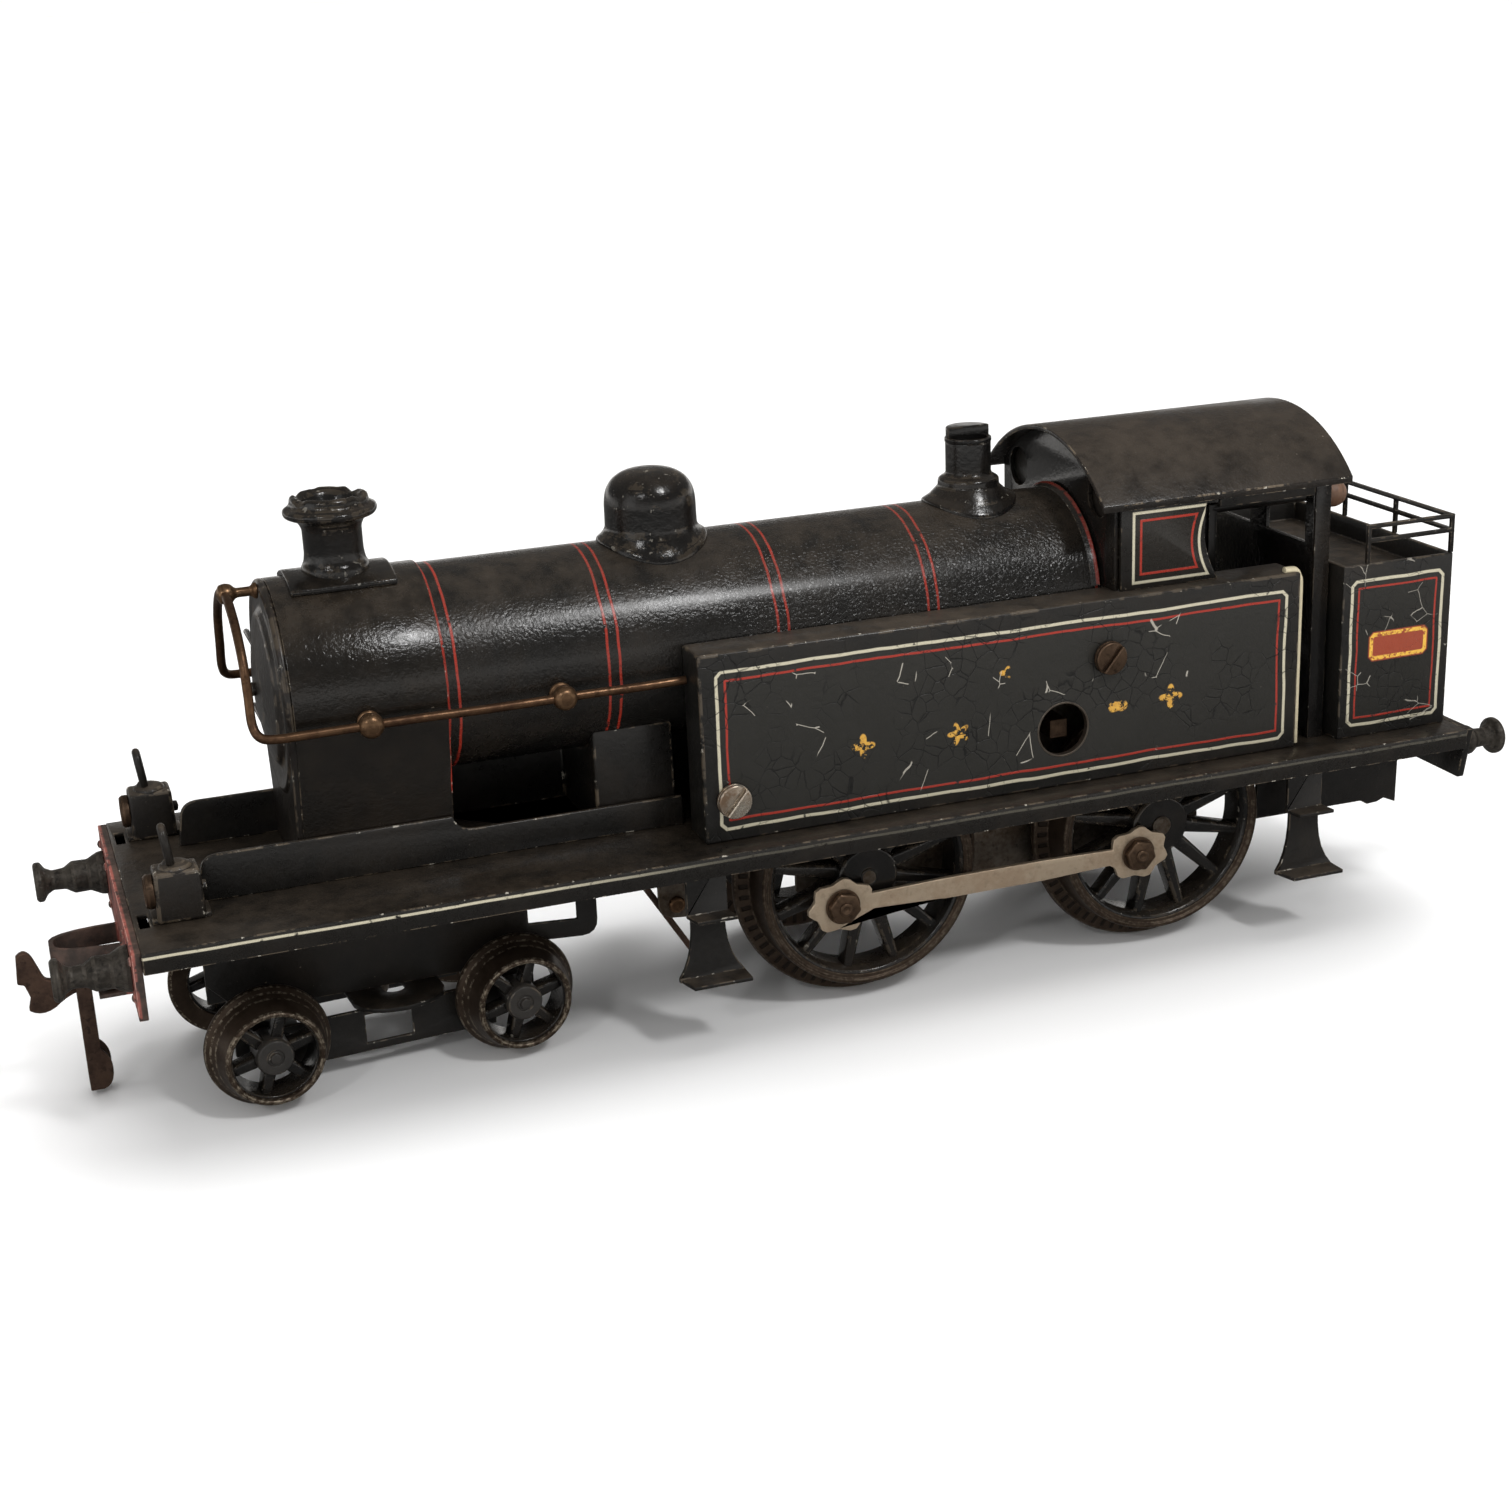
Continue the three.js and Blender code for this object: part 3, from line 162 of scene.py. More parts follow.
class Graph:
    """One procedural material with its places in millimetres of the row frame."""

    def __init__(self, name):
        self.material = bpy.data.materials.new(name)
        self.material.use_nodes = True
        self.tree = self.material.node_tree
        self.tree.nodes.clear()
        self.shader = self.node("ShaderNodeBsdfPrincipled")
        output = self.node("ShaderNodeOutputMaterial")
        self.tree.links.new(self.shader.outputs["BSDF"], output.inputs["Surface"])
        coordinates = self.node("ShaderNodeTexCoord")
        mapping = self.node("ShaderNodeMapping")
        mapping.inputs["Scale"].default_value = (1000, 1000, 1000)
        mapping.inputs["Location"].default_value = (-AXLE_X, 0, 0)
        self.tree.links.new(coordinates.outputs["Object"], mapping.inputs["Vector"])
        self.place = mapping.outputs["Vector"]
        parts = self.node("ShaderNodeSeparateXYZ")
        self.tree.links.new(self.place, parts.inputs[0])
        self.x, self.y, self.z = [Field(self, s) for s in parts.outputs]
        geometry = self.node("ShaderNodeNewGeometry")
        facing = self.node("ShaderNodeSeparateXYZ")
        self.tree.links.new(geometry.outputs["Normal"], facing.inputs[0])
        self.up = Field(self, facing.outputs[2])
        edge = self.node("ShaderNodeAttribute")
        edge.attribute_name = "edge"
        self.edge = Field(self, edge.outputs["Fac"])

    def node(self, kind):
        return self.tree.nodes.new(kind)

    def feed(self, socket, value):
        if isinstance(value, Field):
            self.tree.links.new(value.socket, socket)
        elif isinstance(value, (tuple, list)):
            socket.default_value = (*value, 1.0) if len(value) == 3 else value
        else:
            socket.default_value = value

    def math(self, operation, a, b=None):
        node = self.node("ShaderNodeMath")
        node.operation = operation
        self.feed(node.inputs[0], a)
        if b is not None:
            self.feed(node.inputs[1], b)
        return Field(self, node.outputs[0])

    def noise(self, size, detail=3.0, roughness=0.55, stretch=(1, 1, 1), offset=0.0):
        """Fractal noise whose largest features are about size millimetres across."""
        mapping = self.node("ShaderNodeMapping")
        self.tree.links.new(self.place, mapping.inputs["Vector"])
        mapping.inputs["Scale"].default_value = [1 / (size * s) for s in stretch]
        mapping.inputs["Location"].default_value = (offset, offset * 0.7, -offset)
        node = self.node("ShaderNodeTexNoise")
        node.inputs["Scale"].default_value = 1.0
        node.inputs["Detail"].default_value = detail
        node.inputs["Roughness"].default_value = roughness
        self.tree.links.new(mapping.outputs["Vector"], node.inputs["Vector"])
        return Field(self, node.outputs[0])

    def cells(self, size, feature="DISTANCE_TO_EDGE", warp=0.0):
        """Cell pattern: distance to the nearest edge or centre, with its edges bent by noise."""
        node = self.node("ShaderNodeTexVoronoi")
        node.feature = feature
        node.inputs["Scale"].default_value = 1 / size
        source = self.place
        if warp:
            wobble = self.node("ShaderNodeTexNoise")
            wobble.inputs["Scale"].default_value = 1.6 / size
            self.tree.links.new(self.place, wobble.inputs["Vector"])
            mix = self.node("ShaderNodeVectorMath")
            mix.operation = "MULTIPLY_ADD"
            self.tree.links.new(wobble.outputs["Color"], mix.inputs[0])
            mix.inputs[1].default_value = (warp, warp, warp)
            self.tree.links.new(self.place, mix.inputs[2])
            source = mix.outputs[0]
        self.tree.links.new(source, node.inputs["Vector"])
        return Field(self, node.outputs["Distance"])

    def mix(self, amount, a, b):
        node = self.node("ShaderNodeMix")
        node.data_type = "RGBA"
        self.feed(node.inputs[0], amount)
        self.feed(node.inputs[6], a)
        self.feed(node.inputs[7], b)
        return Field(self, node.outputs[2])

    def finish(self, colour, roughness, height=None, depth=0.1, metallic=0.0, coat=0.0, specular=0.5):
        """Sets the surface; height is a field of about 0 to 1 and depth its size in millimetres."""
        self.feed(self.shader.inputs["Base Color"], colour)
        self.feed(self.shader.inputs["Roughness"], roughness)
        self.feed(self.shader.inputs["Metallic"], metallic)
        self.shader.inputs["Coat Weight"].default_value = coat
        self.shader.inputs["Coat Roughness"].default_value = 0.18
        self.shader.inputs["Specular IOR Level"].default_value = specular
        if height is not None:
            bump = self.node("ShaderNodeBump")
            bump.inputs["Strength"].default_value = 1.0
            bump.inputs["Distance"].default_value = depth / 1000
            self.feed(bump.inputs["Height"], height)
            self.tree.links.new(bump.outputs["Normal"], self.shader.inputs["Normal"])
        return self.material


def line(distance, width):
    """Mask of a painted line along the zero of distance."""
    soft = 0.12
    return abs(distance).step(width / 2 + soft, width / 2 - soft)


def either(masks):
    """The strongest of several masks."""
    return reduce(Field.high, masks)


def framed(g, x0, x1, z0, z1):
    """Signed distance to an upright rectangle, negative inside it, with rounded outer corners."""
    across = (x0 - g.x).high(g.x - x1)
    upright = (z0 - g.z).high(g.z - z1)
    corner = (across + upright + 1.2) * 0.72
    return across.high(upright).high(corner)


def enamel(name, colour, grain=1.0, dust=0.55, gloss=0.3, decorate=None, chips=1.0, wrinkle=0.0):
    """Old brushed enamel on tinplate: uneven coat, dust on what faces up, chips and rubbed edges."""
    g = Graph(name)
    broad = g.noise(26, 3)
    fine = g.noise(1.6, 4, 0.6, offset=3)
    speck = g.noise(0.9, 2, 0.5, offset=9)
    patina = (broad + g.noise(7, 3, offset=5) * 0.5).step(0.62, 1.05)
    brown = tuple(c * 1.25 + d for c, d in zip(colour, (0.006, 0.0035, 0.0015)))
    surface = g.mix(patina, colour, brown)
    surface = g.mix(fine.step(0.35, 0.75) * 0.3, surface, tuple(c * 1.6 + 0.002 for c in colour))
    height = g.noise(1.1, 3, 0.6) * grain
    roughness = gloss + (fine - 0.5) * 0.25 + patina * 0.1
    if wrinkle:
        zone = g.x.step(34, 22) * g.x.step(-60, -46) + 0.3
        ridges = g.cells(1.15, warp=0.6).step(0.0, 0.35)
        height = height + ridges * zone * wrinkle
    if decorate:
        surface, relief = decorate(g, surface)
        height = height + relief
    settled = (g.noise(5, 5, 0.65, offset=2) * 0.7 + broad * 0.5).step(0.35, 0.78)
    dusty = g.up.step(0.35, 0.95) * settled * dust
    surface = g.mix(dusty, surface, DUST)
    roughness = roughness + dusty * 0.35
    flecks = speck.step(0.75, 0.775) * g.noise(17, 2, offset=7).step(0.48, 0.66) * chips
    surface = g.mix(flecks * 0.75, surface, FLECK)
    rubbed = g.edge * g.noise(2.6, 4, 0.7, stretch=(2, 2, 2), offset=4).step(0.5, 0.58)
    surface = g.mix(rubbed * 0.6 * chips, surface, RUBBED)
    bright = g.edge * g.noise(1.9, 3, 0.6, offset=6).step(0.64, 0.68)
    surface = g.mix(bright * 0.8 * chips, surface, CHIP)
    return g.finish(surface, roughness, height - flecks * 0.6, 0.09, coat=0.2, specular=0.4)


def boiler_bands(g, surface):
    """Pairs of thin red lines round the barrel, and one line where it meets the cab."""
    worn = g.noise(2.2, 3, 0.6, offset=11).step(0.3, 0.42)
    masks = [line(g.x - (x + side) + g.noise(9, 1, offset=x) * 0.7 - 0.35, 0.6)
             for x in BAND_X for side in (-BAND_HALF_GAP, BAND_HALF_GAP)]
    masks.append(line(g.x - CAB_BAND_X, 0.7) * 0.7)
    bands = either(masks) * worn * g.z.step(BAND_FOOT, BAND_FOOT + 1)
    faded = g.mix(g.noise(3.5, 3, offset=12), LINE_RED, FADED_RED)
    return g.mix(bands * 0.9, surface, faded), bands * 0.5


def crazing(g, size):
    """Fine dark cracks, and a few open ones that show pale primer."""
    fine = g.cells(size * 0.45, warp=0.8).step(0.045, 0.0) * g.noise(14, 2, offset=14).step(0.42, 0.6)
    where = g.noise(9, 2, 0.4, offset=21).step(0.62, 0.64)
    pale = g.cells(size, warp=1.0).step(0.016, 0.006) * where
    return fine, pale


def polar(g, x, z):
    """Distance and angle round an axis that runs across the engine."""
    dx = g.x - x
    dz = g.z - z
    return g.math("SQRT", dx * dx + dz * dz), g.math("ARCTAN2", dz, dx)


def ornament(g, x, z, size, petals, seed):
    """A worn gilt rosette with the given number of petals."""
    radius, angle = polar(g, x, z)
    outline = g.math("COSINE", angle * petals) * 0.28 + 0.72
    worn = g.noise(1.5, 3, 0.7, offset=seed).step(0.44, 0.5)
    return (radius - outline * size).step(0.25, -0.25) * worn


def lined(g, surface, outside, border, field, worn, cream_width, red_inset, red_width):
    """A field inside a cream line, with a thin red line within it."""
    amount, colour = field
    surface = g.mix(outside * border.step(0, -1) * amount, surface, colour)
    kept = g.noise(worn[0], 3, 0.6, offset=worn[1]).step(0.26, 0.38)
    cream = line(border, cream_width) * kept * outside
    red = line(border + red_inset, red_width) * kept * outside
    surface = g.mix(red * 0.9, surface, LINE_RED)
    return g.mix(cream * 0.92, surface, CREAM), cream + red


def beyond(g, y, inner=0.9, outer=0.5):
    """Mask of what lies on the outer face at y of either side."""
    return abs(g.y).step(y - inner, y - outer)


def tank_side(g, surface):
    outside = beyond(g, TANK_HIGH.y)
    wobble = g.noise(12, 1, offset=31) * 0.9 - 0.45
    border = framed(g, TANK_LOW.x + 4.0, TANK_HIGH.x - 4.1, TANK_LOW.z + 3.3, TANK_HIGH.z - 4.4) + wobble
    field = (0.75, (0.022, 0.021, 0.018))
    surface, lines = lined(g, surface, outside, border, field, (2.2, 33), 0.76, 2.1, 0.56)
    fine, pale = crazing(g, 9.0)
    gilt = either(ornament(g, *place) for place in ORNAMENTS) * outside
    surface = g.mix(gilt * 0.9, surface, g.mix(g.noise(1.2, 2, offset=47), GILT, WORN_GILT))
    surface = g.mix(fine * outside * 0.8, surface, CRACK)
    surface = g.mix(pale * outside * border.step(-1.2, -2.4) * 0.75, surface, CHIP)
    return surface, (lines + gilt) * 0.6 - (fine + pale) * outside * 0.9


def bunker_side(g, surface):
    outside = beyond(g, BUNKER_HIGH.y)
    wobble = g.noise(10, 1, offset=51) * 0.7 - 0.35
    border = wobble + framed(
        g, BUNKER_LOW.x + 2.8, BUNKER_HIGH.x - 2.6, BUNKER_LOW.z + 3.2, BUNKER_HIGH.z - 4.2)
    field = (0.6, (0.02, 0.019, 0.016))
    surface, lines = lined(g, surface, outside, border, field, (2.0, 53), 0.8, 1.9, 0.5)
    fine, pale = crazing(g, 7.0)
    plaque = framed(g, *NUMBER_PLATE)
    rub = g.noise(1.4, 3, 0.7, offset=55).step(0.36, 0.5)
    surface = g.mix(plaque.step(0.2, -0.2) * outside * 0.9, surface, PLATE_RED)
    edging = line(plaque + 0.8, 1.0) * outside * rub
    surface = g.mix(edging * 0.95, surface, GILT)
    around = outside * plaque.step(-0.5, 0.5)
    surface = g.mix(fine * around * 0.8, surface, CRACK)
    surface = g.mix(pale * around * 0.6, surface, CHIP)
    return surface, (lines + edging) * 0.6 - (fine + pale) * outside


def cab_panel(g, surface):
    """Lining on the front part of each cab side, whose rear edge is hollowed."""
    low, high = span("cab_side_left")
    bent = (g.z - (low.z + high.z) / 2) * (2 / (high.z - low.z))
    rear = (1 - bent * bent) * 3.6 + (low.x + 1.9)
    across = (rear - g.x).high(g.x - (high.x - 3.4))
    upright = (low.z + 1.7 - g.z).high(g.z - (high.z - 2.2))
    field = (0.5, (0.02, 0.016, 0.012))
    outside = abs(g.y).step(30.6, 31.0)
    surface, lines = lined(g, surface, outside, across.high(upright), field, (2.0, 63), 0.7, 2.0, 0.6)
    return surface, lines * 0.6


def deck_lines(g, surface):
    """Cream line along the top of each valance, worn away towards the rear."""
    edge = span("footplate")[1]
    wobble = g.noise(15, 1, offset=71) * 0.5 - 0.25
    worn = g.noise(2.4, 3, 0.65, offset=72).step(0.3, 0.42)
    kept = g.x.step(36, 96) * 0.9 + 0.1
    cream = line(g.z - (edge.z - 1.3) + wobble, 0.62) * beyond(g, edge.y, 0.5, 0.2) * worn * kept
    return g.mix(cream * 0.9, surface, CREAM), cream * 0.5


def metal(name, colour, tarnish, roughness=0.36, spots=0.5, grain=2.0, metallic=0.9, pitted=0.0):
    """Bare metal with uneven tarnish, dark spots and fine scratches along its length."""
    g = Graph(name)
    broad = g.noise(9, 4, 0.6)
    fine = g.noise(1.3, 4, 0.65, offset=2)
    streak = g.noise(0.5, 2, 0.5, stretch=(14, 1, 1), offset=6)
    amount = (broad + fine * 0.6).step(0.62, 1.0)
    surface = g.mix(amount, colour, tarnish)
    spotted = g.noise(2.4, 3, 0.6, offset=8).step(0.56, 0.68) * spots
    surface = g.mix(spotted, surface, tuple(c * 0.28 for c in tarnish))
    surface = g.mix(g.edge * fine.step(0.4, 0.6) * 0.55, surface, tuple(min(1, c * 1.5) for c in colour))
    rough = roughness + amount * 0.16 + spotted * 0.25 + (streak - 0.5) * 0.14
    height = fine * 0.6 + streak * 0.3 - spotted * 0.5
    if pitted:
        pits = g.cells(1.5, "F1", 0.6).step(0.5, 0.15)
        height = height - pits * pitted
        surface = g.mix(pits * 0.4 * pitted, surface, tuple(c * 1.9 + 0.02 for c in tarnish))
    return g.finish(surface, rough, height, 0.03 * grain, metallic)


def tyre_metal(name, centres, rubbed):
    """Worn brown tyre with rubbed edges; the flanges round the given centres are notched, with painted shade
    darkening each notch.
    """
    g = Graph(name)
    rust = g.noise(6, 4, 0.65)
    fine = g.noise(1.1, 4, 0.7, offset=5)
    surface = g.mix(rust.step(0.35, 0.7), (0.062, 0.043, 0.03), (0.036, 0.023, 0.015))
    surface = g.mix(fine.step(0.55, 0.8) * 0.25, surface, (0.09, 0.068, 0.05))
    height = fine * 0.8
    for centre in centres:
        radius, angle = polar(g, centre, AXLE_Z)
        teeth = g.math("COSINE", angle * FLANGE_NOTCHES).step(0.1, 0.6)
        belt = (radius - 27.9).step(0.5, 0.9) * (31.3 - radius).step(0.2, 0.7)
        notch = teeth * belt * abs(g.y).step(23.2, 22.6)
        # Painted shade: each notch is coloured near black as if it lay in shadow.
        surface = g.mix(notch * 0.75, surface, (0.012, 0.009, 0.007))
        height = height - notch * 6.0
    surface = g.mix(g.edge * fine.step(0.46, 0.6) * rubbed, surface, (0.24, 0.2, 0.15))
    return g.finish(surface, 0.42 + (fine - 0.5) * 0.3, height, 0.05, 0.75)


def make_materials():
    return {
        "black": enamel("black_enamel", BLACK),
        "gloss": enamel("gloss_black_enamel", (0.0045, 0.0042, 0.004), 1.2, 0.25, 0.17, chips=0.3),
        "boiler": enamel("boiler_enamel", BLACK, 1.5, 0.45, 0.22, boiler_bands, chips=0.7, wrinkle=1.0),
        "smokebox": enamel("smokebox_enamel", (0.0062, 0.0052, 0.0042), 1.7, 0.5, 0.16, boiler_bands,
                           chips=0.6, wrinkle=0.5),
        "door": enamel("smokebox_door_enamel", (0.007, 0.0055, 0.0045), 1.0, 0.3, 0.34, chips=0.5),
        "deck": enamel("footplate_enamel", (0.0065, 0.0055, 0.0045), 1.3, 0.45, 0.28, deck_lines),
        "roof": enamel("roof_enamel", (0.0085, 0.0068, 0.0055), 1.9, 0.55, 0.3, chips=1.6),
        "tank": enamel("tank_enamel", PANEL_BLACK, 1.0, 0.7, 0.34, tank_side, chips=0.7),
        "bunker": enamel("bunker_enamel", PANEL_BLACK, 1.0, 0.7, 0.34, bunker_side, chips=0.7),
        "cab_side": enamel("cab_side_enamel", BLACK, 0.8, 0.4, 0.27, cab_panel),
        "dark": enamel("underframe_enamel", (0.006, 0.0052, 0.0045), 1.1, 0.75, 0.4, chips=0.8),
        "cream": enamel("cream_bead", (0.42, 0.37, 0.25), 0.8, 0.2, 0.45, chips=1.2),
        "beam": beam_paint(),
        "cast": metal("pitted_casting", (0.06, 0.052, 0.042), (0.022, 0.018, 0.014), 0.4, 0.7, 3.5, 0.5,
                      pitted=1.0),
        "nickel": metal("tan_nickel", (0.5, 0.4, 0.29), (0.4, 0.3, 0.21), 0.38, 0.2, metallic=0.7),
        "screw": metal("bright_nickel", (0.62, 0.56, 0.47), (0.3, 0.2, 0.13), 0.25, 0.45),
        "brass": metal("tarnished_brass", (0.17, 0.095, 0.052), (0.085, 0.045, 0.026), 0.3, 0.5),
        "knob": metal("old_brass", (0.2, 0.12, 0.066), (0.11, 0.06, 0.033), 0.28, 0.4),
        "bronze": metal("dark_bronze", (0.14, 0.09, 0.058), (0.07, 0.045, 0.03), 0.36, 0.5),
        "wood": metal("brown_knob", (0.16, 0.085, 0.05), (0.1, 0.055, 0.035), 0.4, 0.3, metallic=0.0),
        "steel": metal("motor_steel", (0.17, 0.145, 0.12), (0.09, 0.065, 0.045), 0.4, 0.5),
        "rust": metal("rusty_iron", (0.075, 0.042, 0.027), (0.038, 0.02, 0.013), 0.5, 0.6, 4.0,
                      metallic=0.55),
        "spring": metal("blued_steel", (0.09, 0.1, 0.13), (0.06, 0.05, 0.05), 0.28, 0.3),
        "driver_tyre": tyre_metal("driver_tyre", (0, REAR_X), 0.3),
        "bogie_tyre": tyre_metal("bogie_tyre", (), 1.0),
        "boss": enamel("grey_boss", (0.017, 0.0155, 0.014), 1.0, 0.2, 0.42, chips=0.8),
    }


def beam_paint():
    """Faded red face with black rubbed through and brown grime."""
    g = Graph("red_beam")
    patches = (g.noise(9, 4, 0.65) + g.noise(2, 3, 0.6, offset=3) * 0.4).step(0.5, 0.82)
    surface = g.mix(patches, (0.3, 0.075, 0.055), (0.16, 0.05, 0.038))
    bare = g.noise(4, 5, 0.7, offset=8).step(0.52, 0.6)
    surface = g.mix(bare * 0.9, surface, (0.025, 0.02, 0.017))
    surface = g.mix(g.edge * g.noise(2, 3, offset=9).step(0.42, 0.52) * 0.7, surface, (0.4, 0.2, 0.16))
    strap = g.x.step(173.7, 174.2) + (173.2 - g.x).step(0.2, 0.6)
    surface = g.mix(strap, surface, g.mix(patches, (0.075, 0.042, 0.03), (0.03, 0.02, 0.015)))
    return g.finish(surface, 0.52 + patches * 0.15, patches * 0.6 - bare * 0.6, 0.08)


MATERIALS = make_materials()


# ---------------------------------------------------------------- mesh building


def rounded(bm, width, segments=2, sharper=28):
    """Rounds every edge sharper than the given angle; the new faces are marked as edge faces."""
    limit = math.radians(sharper)
    edges = [e for e in bm.edges if e.is_manifold and e.calc_face_angle(0) > limit]
    for face in bm.faces:
        face.material_index = 0
    if edges and width:
        bmesh.ops.bevel(bm, geom=edges, offset=width, segments=segments, profile=0.5, affect="EDGES",
                        clamp_overlap=False, material=1)
    return bm


def cad(node, width=0.3, segments=2, sharper=28):
    """A CAD node's own shape with its flat faces merged and its edges rounded."""
    bm = bmesh.new()
    bm.from_mesh(frame["nodes"][node].data)
    bm.transform(TO_MM)
    bmesh.ops.remove_doubles(bm, verts=bm.verts, dist=0.002)
    bmesh.ops.dissolve_limit(bm, angle_limit=math.radians(1.5), verts=bm.verts, edges=bm.edges)
    return rounded(bm, width, segments, sharper)


def block(x0, x1, y0, y1, z0, z1, width=0.3, segments=2):
    bm = bmesh.new()
    bmesh.ops.create_cube(bm, size=1)
    bm.transform(Matrix.Translation(((x0 + x1) / 2, (y0 + y1) / 2, (z0 + z1) / 2))
                 @ Matrix.Diagonal((x1 - x0, y1 - y0, z1 - z0, 1)))
    return rounded(bm, width, segments)


def soften(profile, radius, closed):
    """Rounds the corners of a profile; each result is (r, h, number of its rounded corner or None)."""
    steps = 4
    points = [Vector((p[0], p[1])) for p in profile]
    result = []
    count = len(points)
    for i, point in enumerate(points):
        if not closed and i in (0, count - 1):
            result.append((point.x, point.y, None))
            continue
        before = points[i - 1] - point
        after = points[(i + 1) % count] - point
        reach = min(radius, before.length * 0.45, after.length * 0.45)
        if reach < 0.02 or before.angle(after, math.pi) > math.radians(176):
            result.append((point.x, point.y, None))
            continue
        start = point + before.normalized() * reach
        end = point + after.normalized() * reach
        for k in range(steps + 1):
            t = k / steps
            place = start * (1 - t) ** 2 + point * 2 * t * (1 - t) + end * t ** 2
            result.append((place.x, place.y, i))
    return result


AXES = {
    "x": lambda r, h, a: Vector((h, r * math.cos(a), r * math.sin(a))),
    "y": lambda r, h, a: Vector((r * math.sin(a), h, r * math.cos(a))),
    "z": lambda r, h, a: Vector((r * math.cos(a), r * math.sin(a), h)),
}


def lathe(profile, axis, at, radius, segments, closed=False, arc=(0, 360), shape=None):
    """Turns a profile of (radius, distance) round an axis; a part turn gets flat ends."""
    rings = soften(profile, radius, closed)
    start, sweep = math.radians(arc[0]), math.radians(arc[1] - arc[0])
    full = arc[1] - arc[0] == 360
    steps = segments if full else segments + 1
    bm = bmesh.new()
    rows = []
    for r, h, _ in rings:
        if r < 1e-6:
            rows.append([bm.verts.new(AXES[axis](0, h, 0))] * steps)
        else:
            rows.append([bm.verts.new(AXES[axis](r, h, start + sweep * k / segments)) for k in range(steps)])
    count = len(rows)
    for i in range(count if closed else count - 1):
        j = (i + 1) % count
        for k in range(segments):
            n = (k + 1) % steps
            corners = [rows[i][k], rows[j][k], rows[j][n], rows[i][n]]
            unique = list(dict.fromkeys(corners))
            if len(unique) > 2:
                same_corner = rings[i][2] is not None and rings[i][2] == rings[j][2]
                bm.faces.new(unique).material_index = int(same_corner)
    if not full:
        for k in (0, segments):
            bm.faces.new([row[k] for row in rows])
    if shape:
        for vert in bm.verts:
            vert.co = shape(vert.co)
    bm.transform(Matrix.Translation(at))
    bmesh.ops.recalc_face_normals(bm, faces=bm.faces)
    return bm


def thicken(bm, faces, offset):
    """Draws flat faces out into a solid."""
    rise = bmesh.ops.extrude_face_region(bm, geom=faces)
    verts = [v for v in rise["geom"] if isinstance(v, bmesh.types.BMVert)]
    bmesh.ops.translate(bm, vec=offset, verts=verts)
    bmesh.ops.recalc_face_normals(bm, faces=bm.faces)


def plate(points, axis, low, high, width=0.25, segments=2):
    """A flat outline in the two other axes, given thickness along one axis."""
    order = {"x": (2, 0, 1), "y": (0, 2, 1), "z": (0, 1, 2)}[axis]

    def turn(*values):
        return [values[i] for i in order]

    bm = bmesh.new()
    face = bm.faces.new([bm.verts.new(turn(a, b, low)) for a, b in points])
    thicken(bm, [face], turn(0, 0, high - low))
    return rounded(bm, width, segments)


def smooth_path(points, per_span):
    """Catmull-Rom curve through the points."""
    points = [Vector(p) for p in points]
    padded = [points[0] * 2 - points[1], *points, points[-1] * 2 - points[-2]]
    result = []
    for i in range(1, len(padded) - 2):
        a, b, c, d = padded[i - 1:i + 3]
        for k in range(per_span):
            t = k / per_span
            result.append(0.5 * (b * 2 + (c - a) * t + (a * 2 - b * 5 + c * 4 - d) * t ** 2
                                 + (b * 3 - a - c * 3 + d) * t ** 3))
    result.append(points[-1])
    return result


def tube(points, radius, sides, closed=False):
    """A round wire along a path."""
    bm = bmesh.new()
    count = len(points)
    normal = Vector((0, 0, 1))
    rows = []
    for i, point in enumerate(points):
        ahead = points[(i + 1) % count] if closed else points[min(i + 1, count - 1)]
        behind = points[i - 1] if closed or i else points[0]
        along = (ahead - behind).normalized()
        if abs(along.dot(normal)) > 0.98 and i == 0:
            normal = Vector((0, 1, 0))
        normal = (normal - along * along.dot(normal)).normalized()
        other = along.cross(normal)
        rows.append([bm.verts.new(point + radius * (normal * math.cos(a) + other * math.sin(a)))
                     for a in around(sides)])
    for i in range(count if closed else count - 1):
        j = (i + 1) % count
        for k in range(sides):
            n = (k + 1) % sides
            bm.faces.new([rows[i][k], rows[j][k], rows[j][n], rows[i][n]])
    if not closed:
        bm.faces.new(rows[0])
        bm.faces.new(rows[-1])
    bmesh.ops.recalc_face_normals(bm, faces=bm.faces)
    return bm


def around(count):
    """Angles evenly spaced round a turn."""
    return [2 * math.pi * k / count for k in range(count)]


def carve(base, cutters):
    """Cuts the other shapes out of the first."""
    objects = []
    for bm in [base, *cutters]:
        mesh = bpy.data.meshes.new("carving")
        bm.to_mesh(mesh)
        bm.free()
        obj = bpy.data.objects.new("carving", mesh)
        bpy.context.scene.collection.objects.link(obj)
        objects.append(obj)
    for cutter in objects[1:]:
        cut = objects[0].modifiers.new("cut", "BOOLEAN")
        cut.operation = "DIFFERENCE"
        cut.solver = "EXACT"
        cut.object = cutter
    result = bmesh.new()
    result.from_object(objects[0], bpy.context.evaluated_depsgraph_get())
    for obj in objects:
        mesh = obj.data
        bpy.data.objects.remove(obj)
        bpy.data.meshes.remove(mesh)
    return result


